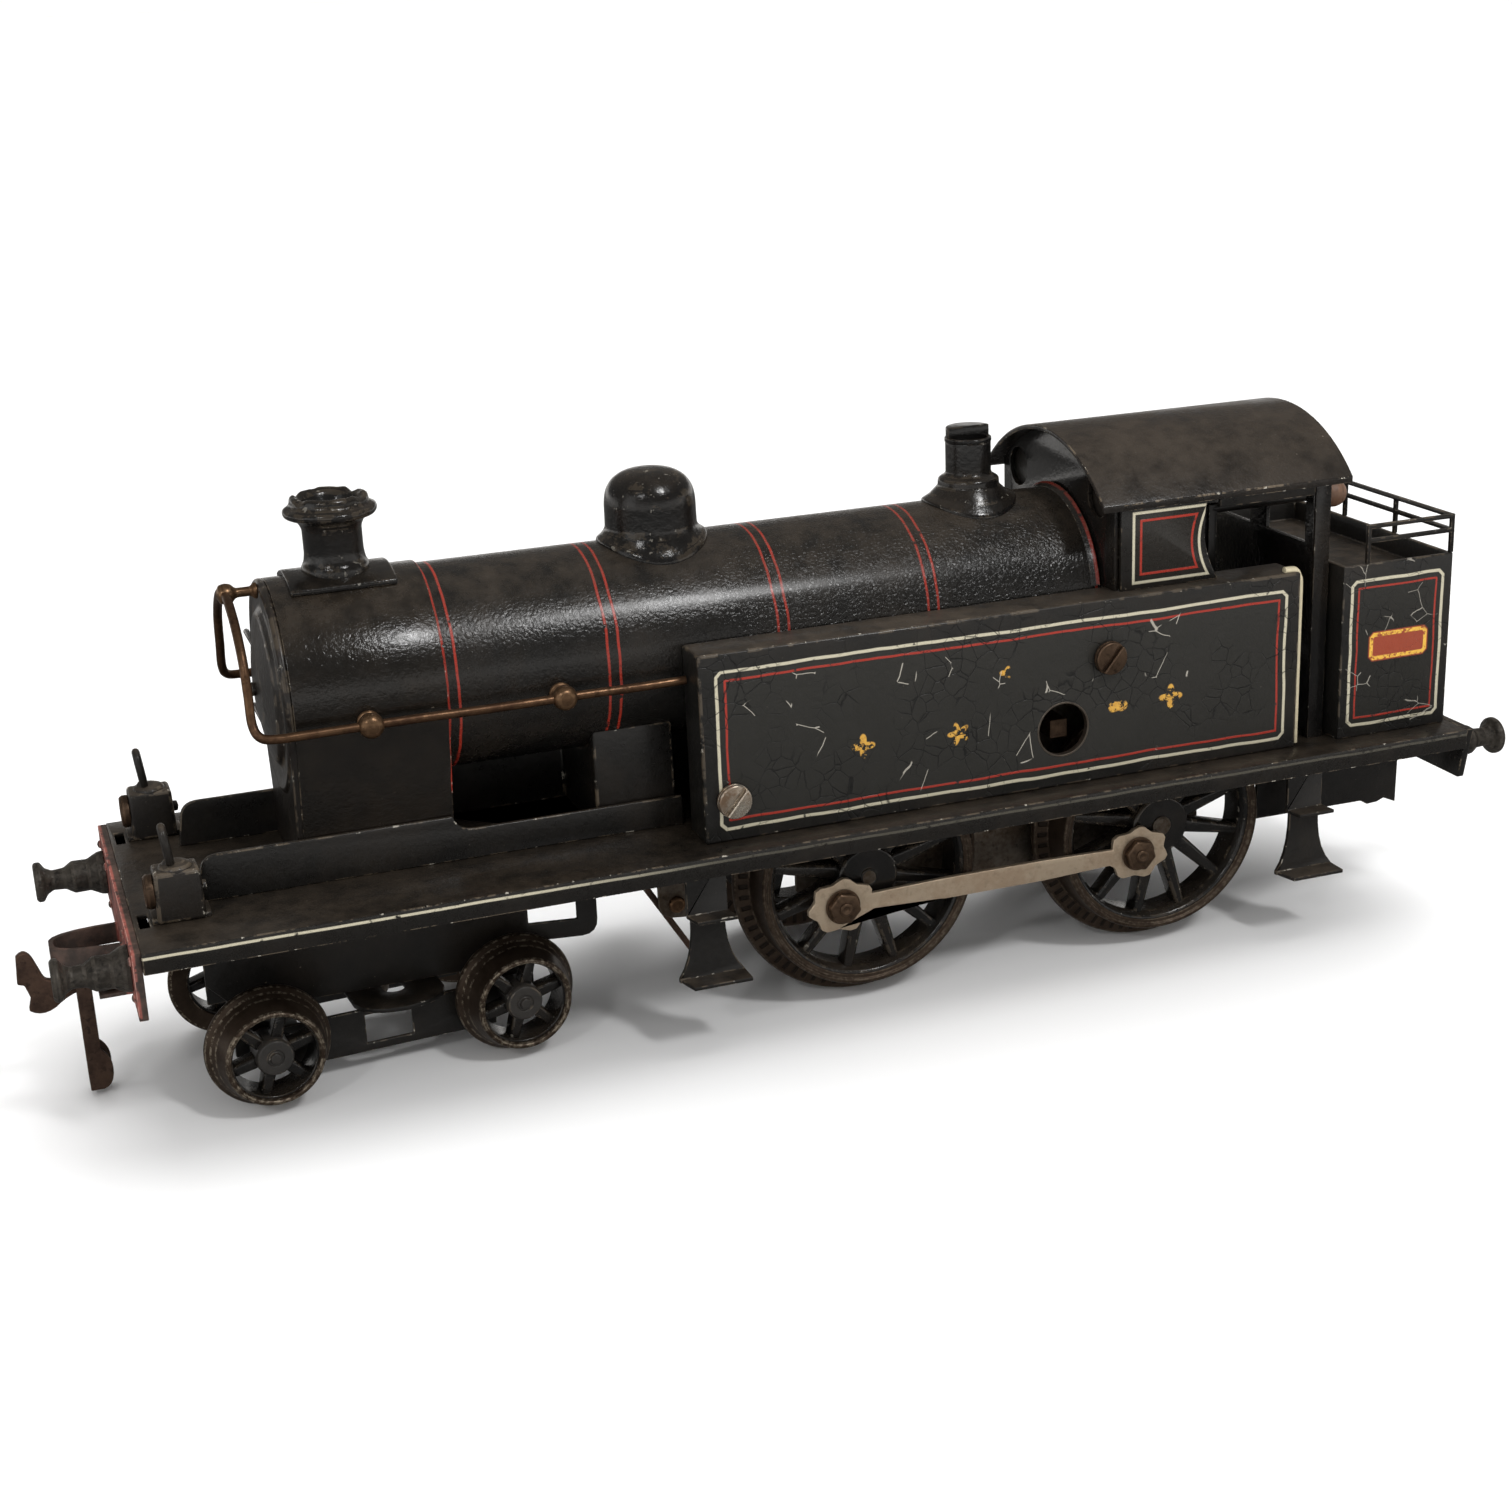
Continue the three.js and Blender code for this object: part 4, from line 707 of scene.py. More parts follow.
class Piece:
    """Shapes gathered into one object."""

    def __init__(self, name):
        self.name = name
        self.verts = []
        self.faces = []
        self.looks = []
        self.slots = []
        self.edges = []

    def add(self, bm, look, matrix=Matrix.Identity(4)):
        bm.transform(matrix)
        if matrix.determinant() < 0:
            bmesh.ops.reverse_faces(bm, faces=bm.faces)
        if look not in self.looks:
            self.looks.append(look)
        slot = self.looks.index(look)
        base = len(self.verts)
        bm.verts.index_update()
        self.verts += [TO_METRES @ v.co for v in bm.verts]
        for face in bm.faces:
            self.faces.append([base + v.index for v in face.verts])
            self.slots.append(slot)
            self.edges.append(float(face.material_index))
        bm.free()
        return self

    def done(self, *nodes, body="frame", slot="black_enamel", sharp=34):
        """Makes the object, on its body, in place of the CAD nodes named; slot is not used."""
        mesh = bpy.data.meshes.new(self.name)
        mesh.from_pydata(self.verts, [], self.faces)
        for look in self.looks:
            mesh.materials.append(MATERIALS[look])
        mesh.polygons.foreach_set("material_index", self.slots)
        edge = mesh.attributes.new("edge", "FLOAT", "FACE")
        edge.data.foreach_set("value", self.edges)
        mesh.shade_smooth()
        mesh.set_sharp_from_angle(angle=math.radians(sharp))
        mesh.update()
        obj = bpy.data.objects.new(self.name, mesh)
        bpy.context.scene.collection.objects.link(obj)
        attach(obj, body)
        if nodes:
            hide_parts(*nodes)


MIRROR = Matrix.Diagonal((1, -1, 1, 1))
SIDES = (("left", 1), ("right", -1))
ORIGIN = (0, 0, 0)


def moved(x, y, z, angle=0.0, axis="Y"):
    return Matrix.Translation((x, y, z)) @ Matrix.Rotation(math.radians(angle), 4, axis)


def sided(sign):
    return MIRROR if sign < 0 else Matrix.Identity(4)


def retouch(look, *nodes, body="frame", slot="black_enamel", width=0.25, segments=2, sharper=28):
    """CAD nodes shown in their own shape with rounded edges."""
    for node in nodes:
        shape = cad(node, width, segments, sharper)
        Piece(node + "_shell").add(shape, look).done(node, body=body, slot=slot)


# ---------------------------------------------------------------- body work

retouch("deck", "footplate", width=0.3)
retouch("beam", "front_buffer_beam", slot="beam_red", width=0.2)
retouch("black", "rear_buffer_beam", width=0.3)
retouch("black", "deck_frame_left", "deck_frame_right", width=0.35, segments=3)
retouch("black", "boiler_box", width=0.7, segments=3, sharper=40)
retouch("bunker", "bunker", slot="panel_enamel", width=0.4, segments=3)
retouch("black", "coal_rails", width=0.22)
retouch("cab_side", "cab_side_left", "cab_side_right")
retouch("gloss", "cab_front_sheet", "cab_back_sheet", width=0.22)
retouch("dark", "front_cradle", "rear_frame")
retouch("dark", "front_step_left", "front_step_right", "rear_step_left", "rear_step_right")
retouch("steel", "bogie_pivot_screw", slot="motor_steel")
retouch("steel", "motor_plate_left", "motor_plate_right", slot="motor_steel", width=0.2)


def side_tanks():
    """Boxes of sheet, open underneath and behind, with a winding hole in the side."""
    low, high = TANK_LOW, TANK_HIGH
    drill = [(0, -4), (6.8, -4), (6.8, 4), (0, 4)]
    for side, sign in SIDES:
        shell = block(low.x, high.x, low.y, high.y, low.z, high.z, 0.7, 4)
        hollow = block(low.x + SHEET, high.x - SHEET, low.y - 2, high.y - SHEET, low.z - 2, high.z - SHEET, 0)
        hole = lathe(drill, "y", (KEYHOLE_X, high.y, KEYHOLE_Z), 0, 72)
        piece = Piece(f"side_tank_{side}_shell").add(carve(shell, [hollow, hole]), "tank", sided(sign))
        piece.done(f"side_tank_{side}", slot="panel_enamel")


def boiler():
    """Rolled barrel, open underneath behind the box, with a bead where it meets the cab."""
    low, high = span("boiler_barrel")
    slot_end = 23.0
    inside = BOILER_R - SHEET
    place = (0, 0, BOILER_Z)
    front = [(inside, slot_end), (BOILER_R, slot_end), (BOILER_R, high.x), (inside, high.x)]
    rear = [(inside, low.x), (BOILER_R, low.x), (BOILER_R, slot_end), (inside, slot_end)]
    weld = [(BOILER_R - 0.3, low.x + 0.3), (BOILER_R + 1.3, low.x + 0.5), (BOILER_R - 0.1, low.x + 2.6)]
    piece = Piece("boiler_shell")
    piece.add(lathe(front, "x", place, 0, 128, True), "boiler")
    piece.add(lathe(rear, "x", place, 0, 112, True, (-42.2, 222.2)), "boiler")
    piece.add(lathe(weld, "x", place, 0.4, 112, True, (10, 170)), "boiler")
    piece.done("boiler_barrel")


def mirrored(points):
    """A half outline and its reflection, which starts again from the far end."""
    return points + [(-y, z) for y, z in reversed(points)]


def smokebox_section(inset):
    """Half of the wrapper's outline: up the saddle, out along the tangent and over to the top."""
    half = SADDLE_HALF - inset
    radius = SMOKE_R - inset
    drop = BOILER_Z - SADDLE_SHOULDER
    start = math.acos(radius / math.hypot(half, drop)) - math.atan2(drop, half)
    steps = 40
    arc = [start + (math.pi / 2 - start) * k / steps for k in range(steps + 1)]
    return [(half, DECK_TOP), (half, SADDLE_SHOULDER)] + [
        (radius * math.cos(a), BOILER_Z + radius * math.sin(a)) for a in arc]


def smokebox():
    """Wrapper and saddle in one sheet, the front below the door, and the door with its hinge and handle."""
    low, high = span("smokebox_wrapper")
    outer = smokebox_section(0)
    inner = smokebox_section(1.9)
    outline = outer + [(-y, z) for y, z in reversed(outer[:-1])] + [(-y, z) for y, z in inner] + [
        (y, z) for y, z in reversed(inner[:-1])]
    shell = Piece("smokebox_shell").add(plate(outline, "x", low.x, high.x, 0.25, 3), "smokebox")
    face = mirrored(smokebox_section(0.3)[:6])
    shell.add(plate(face, "x", high.x - 2.0, high.x + 1.3, 0.4, 3), "door")
    shell.done("smokebox_wrapper", "smokebox_saddle", sharp=40)
    x = span("smokebox_front")[0].x
    place = (x, 0, BOILER_Z)
    door = [(0, 0), (SMOKE_R, 0), (SMOKE_R, 1.3), (23.6, 2.0), (21.2, 1.3), (18.6, 1.3), (16.8, 2.7),
            (8, 4.3), (0, 4.8)]
    hinge = [(0, -17.6), (0.7, -17.4), (0.7, -4), (0, -3.8)]
    handle = [(0, 4), (1.6, 4.2), (1.6, 5.6), (0.9, 6), (0.9, 7), (0, 7.3)]
    piece = Piece("smokebox_door").add(lathe(door, "x", place, 0.7, 128), "door")
    for rise in (-9, 9):
        piece.add(lathe(hinge, "y", (x + 3.3, 0, BOILER_Z + rise), 0.2, 12), "gloss")
    piece.add(lathe(handle, "x", place, 0.3, 24), "gloss")
    piece.done("smokebox_front")


def boiler_shade_sheet():
    """Dark upright sheet under the boiler between the tanks, in front of the motor; painted shade that stands
    in for the shadow there.
    """
    sheet = block(22, 45, -12.2, -11, DECK_TOP, BOILER_Z - 20.6, 0.15)
    Piece("boiler_shade_sheet").add(sheet, "dark").done()


def seated(radius, low, high):
    """Bends the foot of a turned mounting down over a round top; heights are above that top."""

    def bend(co):
        amount = min(1, max(0, (high - co.z) / (high - low)))
        amount = amount * amount * (3 - 2 * amount)
        fall = radius - math.sqrt(max(0.1, radius ** 2 - co.y ** 2))
        return Vector((co.x, co.y, co.z - fall * amount))
    return bend


def chimney():
    """Rough casting on a square foot, with a dented lip that is notched in places."""
    place = Vector((middle("chimney").x, 0, SMOKE_TOP))
    lip = 12
    foot = bmesh.new()
    bmesh.ops.create_grid(foot, x_segments=8, y_segments=24, size=0.5)
    foot.transform(Matrix.Diagonal((24.0, 20.6, 1, 1)))
    thicken(foot, foot.faces[:], (0, 0, 1.35))
    rounded(foot, 0.45, 3, 50)
    for vert in foot.verts:
        lift = 0.3 * max(0, noise.noise(vert.co * 0.16 + Vector((3, 1, 0))))
        fall = SMOKE_R - math.sqrt(SMOKE_R ** 2 - vert.co.y ** 2)
        vert.co = vert.co + place + Vector((0, 0, lift - fall))
    barrel = [(0, -5), (7.9, -5), (7.7, 1.8), (7.0, 3.0), (6.7, 5), (6.7, 10.6), (7.6, 12.4), (10.5, 13.6),
              (10.6, 15.0), (8.9, 16.0), (8.7, 17.6), (7.7, 18.2), (6.4, 17.2), (5.4, 14.6), (5.3, 7.2),
              (0, 7.0)]
    seat = seated(SMOKE_R, 0.4, 2.4)

    def cast(co):
        result = seat(co)
        if co.z > lip:
            grain = co + Vector((0, 0, SMOKE_TOP))
            bump = noise.noise(grain * 0.25) * 0.4 + noise.noise(grain * 0.9) * 0.1
            result.z += bump * min(1, (co.z - lip) / 3)
            result.x += bump * 0.2
        if co.z > 16.6:
            notch = max(0, noise.noise(Vector((co.x * 0.22, co.y * 0.22, 7.3))) - 0.05)
            result.z -= notch * 2.4
        return result

    turned = lathe(barrel, "z", place, 0.7, 96, shape=cast)
    Piece("chimney_cast").add(foot, "gloss").add(turned, "gloss").done("chimney")


def dome():
    place = (middle("dome").x, 0, BOILER_TOP)
    profile = [(0, -1.2), (13.2, -1.0), (13.2, 0.9), (11.9, 1.6), (10.9, 2.8), (10.8, 9.2), (10.3, 11.8),
               (8.8, 14.2), (6.2, 15.8), (3, 16.5), (0, 16.6)]
    turned = lathe(profile, "z", place, 1.6, 112, shape=seated(BOILER_R, 0.6, 3.4))
    Piece("dome_cover").add(turned, "gloss").done("dome", sharp=50)


def safety_valve():
    """Turned casing whose top is half closed by a raised lug."""
    x = middle("safety_valve").x
    place = (x, 0, BOILER_TOP)
    profile = [(0, -1), (11.7, -0.9), (11.7, 0.7), (9.6, 1.6), (7.6, 3.4), (7.5, 5.2), (6.0, 6.1), (5.6, 6.7),
               (5.6, 14.4), (0, 14.4)]
    rim = [(4.7, 14.2), (5.75, 14.2), (5.75, 15.3), (4.7, 15.3)]
    lug = [(x + 5.6 * math.cos(a), 5.6 * math.sin(a) + 0.4)
           for a in [math.pi + math.pi * k / 32 for k in range(33)]]
    piece = Piece("safety_valve_cover")
    piece.add(lathe(profile, "z", place, 0.5, 96, shape=seated(BOILER_R, 0.5, 3.0)), "gloss")
    piece.add(plate(lug, "z", BOILER_TOP + 14.2, BOILER_TOP + 17.9, 0.35), "gloss")
    piece.add(lathe(rim, "z", place, 0.25, 64, True), "gloss")
    piece.done("safety_valve")


def buffers():
    profile = [(0, 0), (5.3, 0), (5.1, 1.5), (3.8, 4.0), (3.9, 7.6), (2.6, 9.6), (2.4, 12.4), (3.2, 13.9),
               (4.8, 14.9), (4.8, 16.1), (4.2, 16.6), (0, 16.6)]
    for end, near, turn in (("front", 0, 0), ("rear", 1, 180)):
        face = span(f"{end}_buffer_left")[near].x
        for side, _ in SIDES:
            node = f"{end}_buffer_{side}"
            centre = middle(node)
            place = moved(face, centre.y, centre.z, turn, "Z")
            piece = Piece(node + "_casting").add(lathe(profile, "x", ORIGIN, 0.45, 48), "cast", place)
            piece.done(node, slot="cast_grey")


def lamps():
    """Square lamps with a tapered top, a lens in front, a knob behind and a wire ring to carry them by."""
    half_long, half_wide = 5.3, 4.3
    shoulder, height = 6, 11.6
    crown = [(0, 11), (4.0, 11), (3.5, 12.2), (1.8, 12.9), (0, 13.0)]
    lens = [(0, 0), (3.9, 0), (3.9, 1.4), (3.3, 2.1), (2.6, 1.3), (0, 1.7)]
    knob = [(0, 0), (1.3, 0), (1.2, 0.9), (0, 1.2)]
    stalk = [(0, 10.8), (1.6, 10.8), (1.5, 12.4), (0.9, 13.4), (0, 13.6)]
    for side, _ in SIDES:
        node = f"front_lamp_{side}"
        y = middle(node).y
        base = span(node)[0].z
        case = block(LAMP_X - half_long, LAMP_X + half_long, y - half_wide, y + half_wide,
                     base, base + height, 0.9, 4)
        for vert in case.verts:
            inward = 1 - 0.07 * max(0, vert.co.z - base - shoulder) / (height - shoulder)
            vert.co.x = LAMP_X + (vert.co.x - LAMP_X) * inward
            vert.co.y = y + (vert.co.y - y) * inward
        ring = [Vector((LAMP_X + 1.3, y, base + 16.4)) + Vector((0.5 * math.sin(a), 2.3 * math.cos(a),
                                                                 4.5 * math.sin(a))) for a in around(40)]
        piece = Piece(node + "_case").add(case, "dark")
        piece.add(block(LAMP_X - 6.4, LAMP_X + 6.4, y - 3.7, y + 3.7, base, base + 1.3, 0.35), "dark")
        piece.add(lathe(crown, "z", (LAMP_X - 0.1, y, base), 0.5, 32), "dark")
        piece.add(lathe(lens, "x", (LAMP_X + 5.1, y, base + 6.6), 0.3, 40), "bronze")
        back = moved(LAMP_X - half_long, y, base + 6.2, 180, "Z")
        piece.add(lathe(knob, "x", ORIGIN, 0.2, 20), "dark", back)
        piece.add(tube(ring, 0.95, 12, True), "dark")
        piece.add(lathe(stalk, "z", (LAMP_X + 1.3, y, base), 0.3, 20), "dark")
        piece.done(node)


def handrail():
    """One wire along both sides and up over the smokebox door, on turned knobs."""
    y, nose = RAIL_Y, RAIL_NOSE
    z = BOILER_Z - 3.8
    top = SMOKE_TOP - 2.0
    half = [(x, y, z) for x in (43.1, 72, 100, 128, 136.4)]
    half += [(139.8, y - 0.8, z + 0.6), (nose, y - 2.6, z + 3.2), (nose, 23.6, z + 9)]
    half += [(nose, 25.0 * math.cos(a), BOILER_Z + (top - BOILER_Z) * math.sin(a))
             for a in map(math.radians, (30, 45, 60, 75, 84))]
    points = smooth_path(half + [(nose, 0, top)] + [(a, -b, c) for a, b, c in reversed(half)], 8)
    for point in points:
        point.z += 0.22 * noise.noise(Vector((point.x * 0.05, 0, 0.3)))
    piece = Piece("handrail_wire").add(tube(points, 1.05, 16), "brass")
    for x, radius in ((71.8, BOILER_R), (115.8, SMOKE_R)):
        foot = math.sqrt(radius ** 2 - (BOILER_Z - z) ** 2) - 0.1
        knob = [(0, foot), (2.7, foot), (2.6, foot + 0.8), (1.3, foot + 1.4), (1.2, foot + 1.8),
                (2.2, y - 2.0), (2.85, y - 0.6), (2.95, y + 0.4), (2.6, y + 1.6), (1.8, y + 2.3),
                (0, y + 2.7)]
        for _, sign in SIDES:
            piece.add(lathe(knob, "y", (x, 0, z), 0.5, 40), "knob", sided(sign))
    front = span("smokebox_front")[0].x
    crown = [(0, front + 1.8), (1.9, front + 1.8), (1.8, front + 2.6), (1.1, front + 3.2), (1.1, nose - 2.4),
             (2.1, nose - 1.5), (2.4, nose - 0.2), (2.1, nose + 1.2), (0, nose + 2.2)]
    piece.add(lathe(crown, "x", (0, 0, top), 0.5, 36), "knob")
    piece.done("handrail", slot="tarnished_brass", sharp=45)


def tank_screws():
    """Slotted heads, each made of two half discs on a shank."""
    shank = [(0, -8), (1.5, -8), (1.5, -1.9), (4.1, -1.9), (4.1, -1.1), (0, -1.1)]
    half_disc = [(4.05 * math.cos(a), 4.05 * math.sin(a))
                 for a in [math.radians(7 + 166 * k / 24) for k in range(25)]]
    for place, look, slot in (("front", "screw", "tarnished_nickel"), ("rear", "bronze", "dark_bronze")):
        for side, sign in SIDES:
            node = f"{place}_tank_screw_{side}"
            centre = middle(node)
            face = max(abs(corner.y) for corner in span(node))
            home = sided(sign) @ Matrix.Translation((centre.x, 0, centre.z))
            piece = Piece(node + "_head")
            piece.add(lathe(shank, "y", (0, face, 0), 0.15, 48), look, home)
            for turn in (50, 230):
                head = plate(half_disc, "y", face - 1.3, face, 0.4, 4)
                piece.add(head, look, home @ moved(0, 0, 0, turn))
            piece.done(node, slot=slot)


def keyhole_rims():
    """Pressed edge round the winding hole in each tank."""
    rim = [(6.45, -1.7), (6.95, -1.7), (6.95, 0.1), (6.45, 0.1)]
    for side, sign in SIDES:
        ring = lathe(rim, "y", (KEYHOLE_X, TANK_HIGH.y, KEYHOLE_Z), 0.15, 72, True)
        Piece(f"keyhole_rim_{side}").add(ring, "steel", sided(sign)).done(slot="motor_steel")


def doorway_beads():
    """Cream bead up the rear edge of each tank and forward over its corner."""
    x = TANK_LOW.x - 0.55
    top = TANK_HIGH.z
    course = [(x, DECK_TOP + 0.8), (x, 62), (x, 78), (x, top - 4), (x + 0.4, top - 1.4),
              (x + 1.6, top + 0.35), (x + 4.5, top + 0.55)]
    path = smooth_path([(a, TANK_HIGH.y - 1.6, b) for a, b in course], 6)
    for side, sign in SIDES:
        bead = tube(path, 0.85, 12)
        Piece(f"doorway_bead_{side}").add(bead, "cream", sided(sign)).done(slot="panel_enamel")


def roof_arc(inset, half):
    """Points across the roof's curve from +Y to -Y, a given depth below its outer face."""
    steps = 56
    low, high = span("cab_roof")
    rise = high.z - low.z - 0.4
    outer = (high.y ** 2 + rise ** 2) / (2 * rise)
    radius = outer - inset
    edge = math.asin(half / radius)
    return [(radius * math.sin(a), high.z - outer + radius * math.cos(a))
            for a in [edge - 2 * edge * k / steps for k in range(steps + 1)]]


def roof():
    low, high = span("cab_roof")
    sheet = list(reversed(roof_arc(0, high.y))) + roof_arc(1.15, high.y)
    Piece("cab_roof_sheet").add(plate(sheet, "x", low.x, high.x, 0.3, 3), "roof").done("cab_roof", sharp=50)


def cab_window_shade():
    """Dark sheet behind the round windows, painted shade standing in for the shadow inside the cab, and a
    rail along the top of each doorway.
    """
    front = span("cab_front_sheet")[0].x
    half = 30.1
    # Painted shade: a dark sheet seen through the windows in place of the shaded inside of the cab.
    sheet = [(-half, TANK_HIGH.z + 0.3), (half, TANK_HIGH.z + 0.3)] + roof_arc(2.2, half)
    Piece("cab_window_shade").add(plate(sheet, "x", front - 1.0, front - 0.25, 0.15), "dark").done(sharp=50)
    low, high = span("cab_side_left")
    back = span("cab_back_sheet")[1].x
    for side, sign in SIDES:
        rail = block(back + 0.2, low.x - 0.2, high.y - 1.2, high.y, high.z - 3.4, high.z + 0.2)
        Piece(f"door_rail_{side}").add(rail, "black", sided(sign)).done()


def control_rod():
    """Round bar with a wooden knob, and the block on its front end."""
    low, high = span("control_rod")
    y = middle("control_rod").y
    z = high.z - 1.2
    bar = [(0, -136), (1.3, -136), (1.3, high.x - 1.2), (0, high.x - 1.2)]
    knob = [(0, 0), (1.8, 0.1), (3.2, 1.4), (3.7, 3.2), (3.5, 5.2), (2.4, 7.0), (1.4, 7.6), (0, 7.6)]
    piece = Piece("control_rod_bar").add(lathe(bar, "x", (0, y, z), 0.2, 24), "dark")
    piece.add(lathe(knob, "x", (low.x, y, z), 0.7, 40), "wood")
    piece.add(block(high.x - 2.4, high.x, y - 1.2, y + 1.2, low.z, z + 1.2), "dark")
    piece.done("control_rod", body="control_rod", slot="dark_bronze")


def rivets():
    """Round heads on the front beam and on the motor plates."""
    head = [(0, -0.3), (1.1, -0.3), (1.0, 0.35), (0.55, 0.75), (0, 0.85)]
    beam = Piece("beam_rivets")
    for y in (-38.5, -22, 22, 38.5):
        for z, spread in ((37.2, 0.96), (46.4, 1)):
            beam.add(lathe(head, "x", (173.5, y * spread, z), 0.2, 20), "beam")
    beam.done(slot="beam_red")
    cap = [(0, 16.5), (1.9, 16.5), (1.8, 17.1), (1.0, 17.6), (0, 17.7)]
    studs = Piece("motor_rivets")
    for x, z in ((-93, 26.5), (8, 44), (-84, 68), (-14, 70), (-30, 26), (-60, 44)):
        for _, sign in SIDES:
            studs.add(lathe(cap, "y", (x, 0, z), 0.3, 20), "steel", sided(sign))
    studs.done(slot="motor_steel")


def brake_hanger():
    """Bent bracket with a brass rivet, and the slanted brake rod, both inside the left middle step."""
    top = DECK_TOP - 1.3
    y = 16.2
    strap = [(49.6, top), (49.6, 28.6), (48.8, 26.2), (46.4, 25.0), (41.8, 24.6), (41.8, top)]
    rivet = [(0, 0), (2.1, 0), (2.1, 1.5), (1.6, 1.9), (0, 2.0)]
    rod = [(54.3, 35.4), (53.0, 36.4), (40.6, 15.6), (41.9, 14.8)]
    piece = Piece("brake_hanger").add(plate(strap, "y", y, y + 0.9), "steel")
    piece.add(lathe(rivet, "y", (45.0, y, 28.4), 0.3, 32), "knob")
    piece.add(plate(rod, "y", y - 1.4, y - 0.4), "rust")
    piece.done(slot="motor_steel")


def mainspring():
    """Flat spring wound in a spiral."""
    low, high = span("mainspring")
    centre = middle("mainspring")
    per_turn, thick = 40, 0.42
    steps = 11 * per_turn
    inner, outer = 8.5, 17.1
    near, far = low.y + 0.3, high.y - 0.3
    bm = bmesh.new()
    rows = []
    for k in range(steps + 1):
        a = 2 * math.pi * k / per_turn
        r = inner + (outer - inner) * k / steps
        rows.append([bm.verts.new((centre.x + radius * math.cos(a), y, centre.z + radius * math.sin(a)))
                     for radius, y in ((r, near), (r + thick, near), (r + thick, far), (r, far))])
    for before, after in zip(rows, rows[1:]):
        for i in range(4):
            j = (i + 1) % 4
            bm.faces.new([before[i], before[j], after[j], after[i]])
    bm.faces.new(rows[0])
    bm.faces.new(rows[-1])
    bmesh.ops.recalc_face_normals(bm, faces=bm.faces)
    Piece("mainspring_coil").add(bm, "spring").done("mainspring", slot="spring_steel")


side_tanks()
boiler()
boiler_shade_sheet()
smokebox()
chimney()
dome()
safety_valve()
buffers()
lamps()
handrail()
tank_screws()
keyhole_rims()
doorway_beads()
roof()
cab_window_shade()
control_rod()
rivets()
brake_hanger()
mainspring()


# ---------------------------------------------------------------- running gear


def spoke(inner, outer, root, tip, low, high, width):
    """Tapered bar that points away from a wheel's centre."""
    points = [(inner, -root / 2), (outer, -tip / 2), (outer, tip / 2), (inner, root / 2)]
    return plate(points, "y", low, high, width, 3)


def hexagon(radius, low, high, width):
    corners = [math.radians(60 * k + 12) for k in range(6)]
    return plate([(radius * math.cos(a), radius * math.sin(a)) for a in corners], "y", low, high, width, 3)


def driving_wheel(place, side, sign, x):
    """Twelve-spoked wheel with a notched flange, a crank boss and the nut of its crank pin."""
    pivot = JOINTS[side + "_rod_pivot"]["pos_m"]
    dx = pivot[0] * 1000 - AXLE_X
    dz = pivot[2] * 1000 - AXLE_Z
    crank = math.degrees(math.atan2(dz, dx))
    home = sided(sign) @ Matrix.Translation((x, 0, AXLE_Z))
    at_pin = home @ Matrix.Translation((dx, 0, dz))
    tyre = [(25.2, 20.2), (31.7, 20.2), (32.2, 20.9), (31.8, 22.1), (28.3, 22.8), (27.6, 30.0), (27.3, 30.4),
            (26.5, 30.4), (26.2, 29.9), (25.2, 29.9)]
    rim = [(23.7, 20.5), (25.4, 20.5), (25.9, 29.6), (24.6, 29.4), (23.6, 27.6)]
    boss = [(1.7, 21.2), (7.3, 21.2), (7.9, 28.4), (7.7, 29.3), (7.2, 29.7), (2.3, 29.7), (2.2, 30.2),
            (1.7, 30.2)]
    web = [(0, 22.5), (4.6, 22.5), (4.6, 29.6), (4.1, 30.1), (0, 30.1)]
    washer = [(0, 30.0), (2.6, 30.0), (2.6, 32.85), (4.4, 32.85), (4.4, 33.2), (0, 33.2)]
    tip = [(0, 34.6), (1.7, 34.6), (1.6, 35.3), (1.1, 35.5), (0.4, 35.2), (0, 35.1)]
    piece = Piece(f"{place}_driver_{side}")
    piece.add(lathe(tyre, "y", ORIGIN, 0.3, 128, True), "driver_tyre", home)
    piece.add(lathe(rim, "y", ORIGIN, 0.4, 128, True), "gloss", home)
    for k in range(12):
        bar = spoke(6.2, 24.4, 3.9, 2.5, 23.2, 28.2, 0.85)
        piece.add(bar, "gloss", home @ moved(0, 0, 0, -(k * 30 + crank + 15)))
    piece.add(lathe(boss, "y", ORIGIN, 0.35, 64, True), "gloss", home)
    piece.add(lathe(web, "y", ORIGIN, 0.3, 40), "gloss", at_pin)
    piece.add(lathe(washer, "y", ORIGIN, 0.1, 40), "bronze", at_pin)
    piece.add(hexagon(4.2, 33.1, 34.9, 0.5), "bronze", at_pin)
    piece.add(lathe(tip, "y", ORIGIN, 0.2, 28), "bronze", at_pin)
    piece.done(f"{place}_driving_wheel_{side}", body=f"{place}_drivers", slot="wheel_iron")


def front_shaft():
    """Stepped driving axle with a collar inside each motor plate."""
    half = [(4.2, 17.2), (4.2, 19.9), (2.6, 19.9), (2.6, 29.4), (2.0, 30.1), (0, 30.1)]
    profile = [(r, -h) for r, h in reversed(half)] + [(2.6, -17.2), (2.6, 17.2)] + half
    return lathe(profile, "y", (0, 0, AXLE_Z), 0.2, 40)


for place, x in (("front", 0.0), ("rear", REAR_X)):
    for side, sign in SIDES:
        driving_wheel(place, side, sign, x)
    shaft = front_shaft() if place == "front" else cad("rear_driving_axle", 0.12, 1)
    axle = Piece(f"{place}_axle_shaft").add(shaft, "steel")
    axle.done(f"{place}_driving_axle", body=f"{place}_drivers", slot="motor_steel")

for side, _ in SIDES:
    retouch("nickel", f"coupling_rod_{side}", body=f"{side}_rod", slot="tarnished_nickel", width=0.22,
            segments=3)
for wheel in ("great_wheel", "middle_wheel"):
    retouch("knob", wheel, body=wheel, slot="tarnished_brass", width=0.1, segments=1)
retouch("bronze", "winding_arbor", body="winding_arbor", slot="motor_steel", width=0.15, segments=1)
retouch("rust", "coupling_hook", body="coupling_hook", slot="rusty_iron", width=0.35, segments=3)
retouch("rust", "drop_link", body="drop_link", slot="rusty_iron", width=0.2)
retouch("dark", "bogie_frame", body="bogie")


